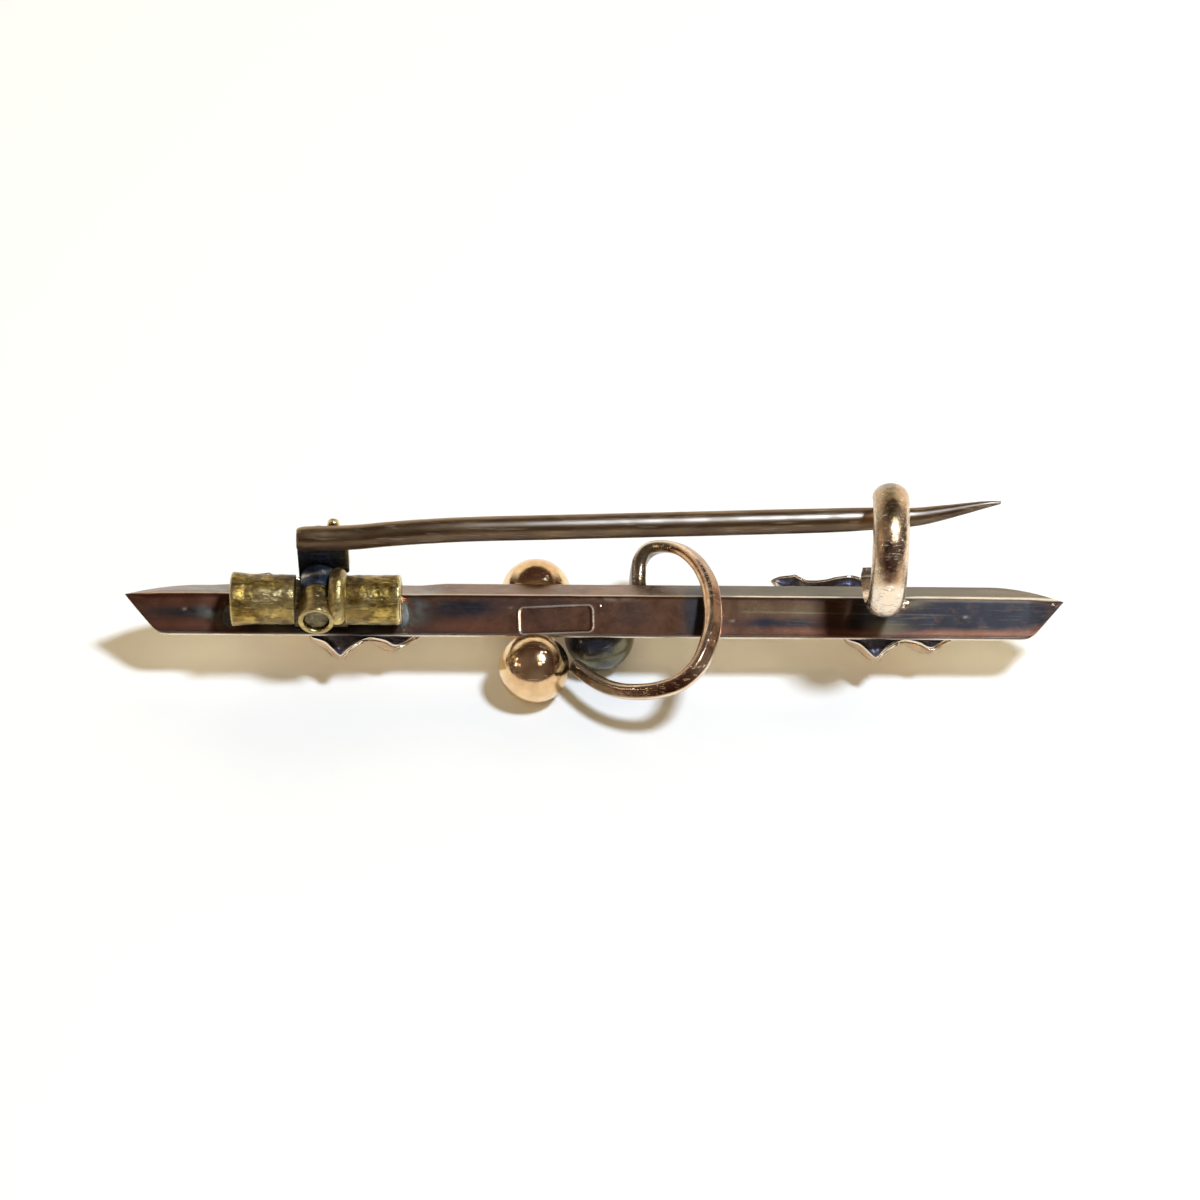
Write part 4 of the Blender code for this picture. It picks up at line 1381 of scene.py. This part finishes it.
def knuckle_wear_and_sheen(p, n):
    """Rubbed at the mouth and on top, and crossed by the painted light line."""
    mouth = 0.35 * ease(KNUCKLE_NEAR_Y + 0.25, KNUCKLE_NEAR_Y + 0.05, p.y)
    top = 0.35 * ease(-0.9, -1.4, p.y) * ease(0.4, 0.9, n.z)
    return mouth + top + painted_light_line(p, n) * ease(-0.9, -0.7, p.y)


# The knuckle's underside is painted darker, as painted shade
knuckle = settle(
    "hinge_knuckle", turned_y(knuckle_profile(), HINGE_X, HINGE_RISE, sides=64, ring=True),
    BRASS_PITTED, {"worn_and_sheen": knuckle_wear_and_sheen, "grime_and_shade": lambda p, n: 0.7 * ease(0.3, -0.4, n.z)},
)
# Behind the given line the knuckle takes the tongue's material, as painted shade under the tongue
knuckle.data.materials.append(TONGUE_SHADED)
for polygon in knuckle.data.polygons:
    if polygon.center.y > (BAR_Y + SHADED_KNUCKLE_Y) * MM:
        polygon.material_index = 1


def box_shape(low, high, cuts=6):
    """A box whose faces are cut up and made uneven."""
    bm = bmesh.new()
    low, high = Vector(low), Vector(high)
    bmesh.ops.create_cube(
        bm, size=1.0,
        matrix=Matrix.Translation((low + high) / 2) @ Matrix.Diagonal((*(high - low), 1.0)),
    )
    bmesh.ops.subdivide_edges(bm, edges=bm.edges, cuts=cuts, use_grid_fill=True)
    for v in bm.verts:
        v.co += 0.02 * Vector([rough(v.co, 0.6, seed) for seed in (1.0, 2.0, 3.0)])
    return bm


settle(
    "hinge_saddle", box_shape(
        (HINGE_X - BLOCK_LEFT - SADDLE_LAP, TUBE_Y - TUBE_RADIUS * SADDLE_NEAR, SADDLE_FOOT),
        (
            HINGE_X + BLOCK_RIGHT + SADDLE_LAP, KNUCKLE_FAR_Y - SADDLE_BACK,
            HINGE_RISE - SADDLE_DROP,
        ),
    ), BRASS_PITTED, {"grime_and_shade": lambda p, n: 1.0}, soft=0.05,
)


def post_shape(half, rise, foot, near, wall, x, arc=20):
    """An upright with a half-round top, from its near face back by its wall."""
    top = [
        (half * math.cos(a), rise - half + half * math.sin(a))
        for a in (math.pi * i / arc for i in range(arc + 1))
    ]
    return plate([(half, foot), *top, (-half, foot)], near, near + wall, x)


settle(
    "hinge_ear", post_shape(EAR_HALF_WIDTH, EAR_RISE, EAR_FOOT, EAR_Y, EAR_WALL, HINGE_X),
    BRASS_PITTED, {"grime_and_shade": lambda p, n: 0.7}, soft=0.08, rounds=3,
)
settle(
    "ear_finger", post_shape(
        FINGER_RADIUS, FINGER_RISE, FINGER_FOOT, EAR_Y + FINGER_INSET, FINGER_WALL,
        HINGE_X + FINGER_X,
    ), BRASS_PITTED, {"worn_and_sheen": lambda p, n: 0.8}, soft=0.10, rounds=3,
)


# Solder


def mound_shape(centre, radii, seed):
    """A flat lump of run metal on the bar's near facet, which it sinks into."""
    def place(out):
        uneven = 1 + 0.10 * rough(out * 1.5, 1.0, seed) + 0.03 * rough(out * 4, 1.0, seed)
        p = Vector([c + r * o * uneven for c, r, o in zip(centre, radii, out)])
        p.z += (p.y - centre[1]) * RIDGE_RISE / BAR_HALF_WIDTH
        return p

    return ball(place, rings=40, sides=64)


SOLDER = (
    # name, centre, radii, seed, material
    ("solder_left", (-17.36, -0.90, 0.40), (0.42, 0.50, 0.12), 2.0, SOLDER_GREY),
    ("solder_right", (-9.16, -0.80, 0.45), (0.34, 0.60, 0.12), 5.0, SOLDER_GREY),
    ("solder_catch", (14.55, -0.15, 0.77), (0.55, 0.27, 0.10), 9.0, GOLD_RUBBED),
)
for lump_name, lump_centre, lump_radii, lump_seed, lump_metal in SOLDER:
    settle(
        lump_name, mound_shape(lump_centre, lump_radii, lump_seed), lump_metal,
        {"grime_and_shade": lambda p, n: 0.4 + 0.5 * rough(p, 0.5, 3.0)},
    )


# Rivet and pin


def rivet_profile():
    """The rivet from its low domed head to its bevelled tail."""
    head = KNUCKLE_NEAR_Y + RIVET_SINK
    tail = EAR_Y + EAR_WALL + RIVET_TAIL
    dome = [(head + RIVET_DOME * (i / 6) ** 2, RIVET_RADIUS * i / 6) for i in range(1, 7)]
    shank = [(head + 0.12, RIVET_RADIUS), (tail - RIVET_TAIL, RIVET_RADIUS)]
    return [*dome, *shank, (tail, RIVET_RADIUS - RIVET_BEVEL)]


rivet = settle(
    "rivet_steel", turned_y(rivet_profile(), HINGE_X, HINGE_RISE), STEEL_DULL,
)
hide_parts("hinge_rivet")


def pin_wire_mesh():
    """The tapered wire, which climbs away from the bar."""
    rows = smooth_route([
        (
            HINGE_X + along * PIN_REACH, PIN_Y + PIN_DRIFT * along,
            HINGE_RISE + PIN_HEIGHT + climb * PIN_CLIMB, size,
        )
        for along, climb, size in PIN_ROUTE
    ], 14)
    return strip_mesh(
        "pin", STRIP, [r.to_3d() for r in rows], [Vector((0.0, 0.0, 1.0))] * len(rows),
        [r[3] for r in rows], BRONZE_DRAWN, Width=PIN_RADIUS, Height=PIN_RADIUS, Flat=-1.0, Top=1.0,
    )


def pin_sheen(p, n):
    """A painted highlight along the near shoulder, where the lamp's streak lies, from the middle to
    the tip.
    """
    line = 1.3 * bump(n.y + 0.44, 0.15) * ease(-10.0, 5.0, p.x)
    return line * (0.6 + 0.4 * ease(-0.4, 0.2, rough(p, 0.9, 5.0)))


# The pin is painted darker underneath, as painted shade
pin = settle(
    "pin_wire", pin_wire_mesh(), BRONZE_DRAWN,
    {"worn_and_sheen": pin_sheen, "grime_and_shade": lambda p, n: 0.8 * ease(0.55, 0.15, n.z)},
    "pin", soft=0.06,
)
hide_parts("pin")


def tongue_shape(arc=28, cuts=48):
    """The pin's flat end, with a round foot under the rivet and a heel beside it."""
    foot = [
        (TONGUE_FOOT * math.cos(a), TONGUE_FOOT * math.sin(a))
        for a in (math.pi + math.pi * i / arc for i in range(arc + 1))
    ]
    heel = [(TONGUE_RIGHT, TONGUE_HEEL), (TONGUE_RIGHT, PIN_HEIGHT)]
    near, far = PIN_Y - TONGUE_WALL / 2, PIN_Y + TONGUE_WALL / 2
    bm = plate([(-TONGUE_LEFT, PIN_HEIGHT), *foot, *heel], near, far, HINGE_X, HINGE_RISE)
    # Cuts across the plate, close enough for a fine line to be stored on its points
    for axis, low, high in ((0, -TONGUE_LEFT, TONGUE_RIGHT), (2, -TONGUE_FOOT, PIN_HEIGHT)):
        for step in range(1, cuts):
            place = Vector((HINGE_X, PIN_Y, HINGE_RISE))
            place[axis] += low + (high - low) * step / cuts
            bmesh.ops.bisect_plane(
                bm, geom=[*bm.verts, *bm.edges, *bm.faces], plane_co=place,
                plane_no=Vector((axis == 0, 0.0, axis == 2)),
            )
    return bm


def tongue_sheen(p, n):
    """The painted light line, and a painted glint along its right edge."""
    return painted_light_line(p, n) + 0.8 * bump(p.x - HINGE_X - TONGUE_RIGHT, 0.10)


# The tongue is painted darker towards its foot, as painted shade among the hinge's parts
settle(
    "pin_tongue", tongue_shape(), TONGUE_SHADED,
    {"worn_and_sheen": tongue_sheen, "grime_and_shade": lambda p, n: 0.8 * ease(0.4, -0.3, p.z - HINGE_RISE)},
    "pin", soft=0.06,
)


# Table, light and camera


def table_top():
    """A sheet of matt white card."""
    card = bpy.data.materials.new("white_card")
    card.use_nodes = True
    shader = card.node_tree.nodes["Principled BSDF"]
    shader.inputs["Base Color"].default_value = linear("#f9faf9")
    shader.inputs["Roughness"].default_value = 0.9
    bm = bmesh.new()
    bmesh.ops.create_grid(bm, x_segments=1, y_segments=1, size=TABLE_HALF)
    mesh = bpy.data.meshes.new("table_top")
    bm.to_mesh(mesh)
    bm.free()
    mesh.materials.append(card)
    made = bpy.data.objects.new("table_top", mesh)
    bpy.context.scene.collection.objects.link(made)


def lamp(name, towards, watts, colour, distance, size, seen=True):
    """A round light that shines at the brooch from the given way, placed in metres."""
    light = bpy.data.lights.new(name, "AREA")
    light.shape = "DISK"
    light.size = size
    light.energy = watts
    light.color = linear(colour)[:3]
    made = bpy.data.objects.new(name, light)
    way = Vector(towards).normalized()
    made.location = way * distance
    made.rotation_mode = "QUATERNION"
    made.rotation_quaternion = way.to_track_quat("Z", "Y")
    made.visible_glossy = seen
    bpy.context.scene.collection.objects.link(made)


def room():
    """A dark room above, and a bright wall low down on the far side."""
    world = bpy.data.worlds.new("room")
    bpy.context.scene.world = world
    world.use_nodes = True
    tree = world.node_tree
    tree.nodes.clear()
    where = node(tree, "ShaderNodeTexCoord").outputs["Generated"]
    parts = node(tree, "ShaderNodeSeparateXYZ", {0: where}).outputs
    aside = node(tree, "ShaderNodeMath", {0: parts["X"]}, operation="ABSOLUTE")
    low, back, middle = [
        node(
            tree, "ShaderNodeMapRange", {"Value": way, "From Min": none, "From Max": full},
            interpolation_type="SMOOTHSTEP",
        )
        for way, none, full in (
            (parts["Z"], 0.62, 0.42), (parts["Y"], -0.15, 0.35), (aside, 0.90, 0.60),
        )
    ]
    wall = node(tree, "ShaderNodeMath", {0: low, 1: middle}, operation="MULTIPLY")
    wall = node(tree, "ShaderNodeMath", {0: wall, 1: back}, operation="MULTIPLY")
    colour = node(
        tree, "ShaderNodeMix", {"Factor": wall, 6: ROOM_DARK, 7: ROOM_WALL}, data_type="RGBA",
    ).outputs[2]
    sky = node(tree, "ShaderNodeBackground", {"Color": colour, "Strength": 1.0})
    node(tree, "ShaderNodeOutputWorld", {"Surface": sky})


def camera():
    """The photograph's view: no shift and no depth of field."""
    rise, roll = VIEW_RISE, VIEW_ROLL
    right = Vector((1.0, 0.0, 0.0))
    up = Vector((0.0, math.sin(rise), math.cos(rise)))
    back = Vector((0.0, -math.cos(rise), math.sin(rise)))
    turned_right = right * math.cos(roll) - up * math.sin(roll)
    turned_up = right * math.sin(roll) + up * math.cos(roll)
    data = bpy.data.cameras.new("camera")
    data.sensor_width = 36.0
    data.lens = data.sensor_width * FOCAL_PIXELS / FRAME_PIXELS
    data.clip_start, data.clip_end = 0.01, 10.0
    made = bpy.data.objects.new("camera", data)
    turn = Matrix((turned_right, turned_up, back)).transposed().to_4x4()
    place = (Vector(VIEW_TARGET) + back * VIEW_DISTANCE) * MM
    made.matrix_world = Matrix.Translation(place) @ turn
    bpy.context.scene.collection.objects.link(made)
    bpy.context.scene.camera = made


table_top()
lamp("ceiling_lamp", LAMP_WAY, 2.3, "#e2efff", distance=0.5, size=0.085)
for fill_way, fill_watts in FILLS:
    lamp("soft_fill", fill_way, fill_watts, "#ffe4a4", distance=0.8, size=0.6, seen=False)
for spark_way, spark_watts in SPARKS:
    lamp("far_window", spark_way, spark_watts, "#fff2dc", distance=0.6, size=0.035)
bpy.context.scene.view_settings.view_transform = "Standard"
room()
camera()
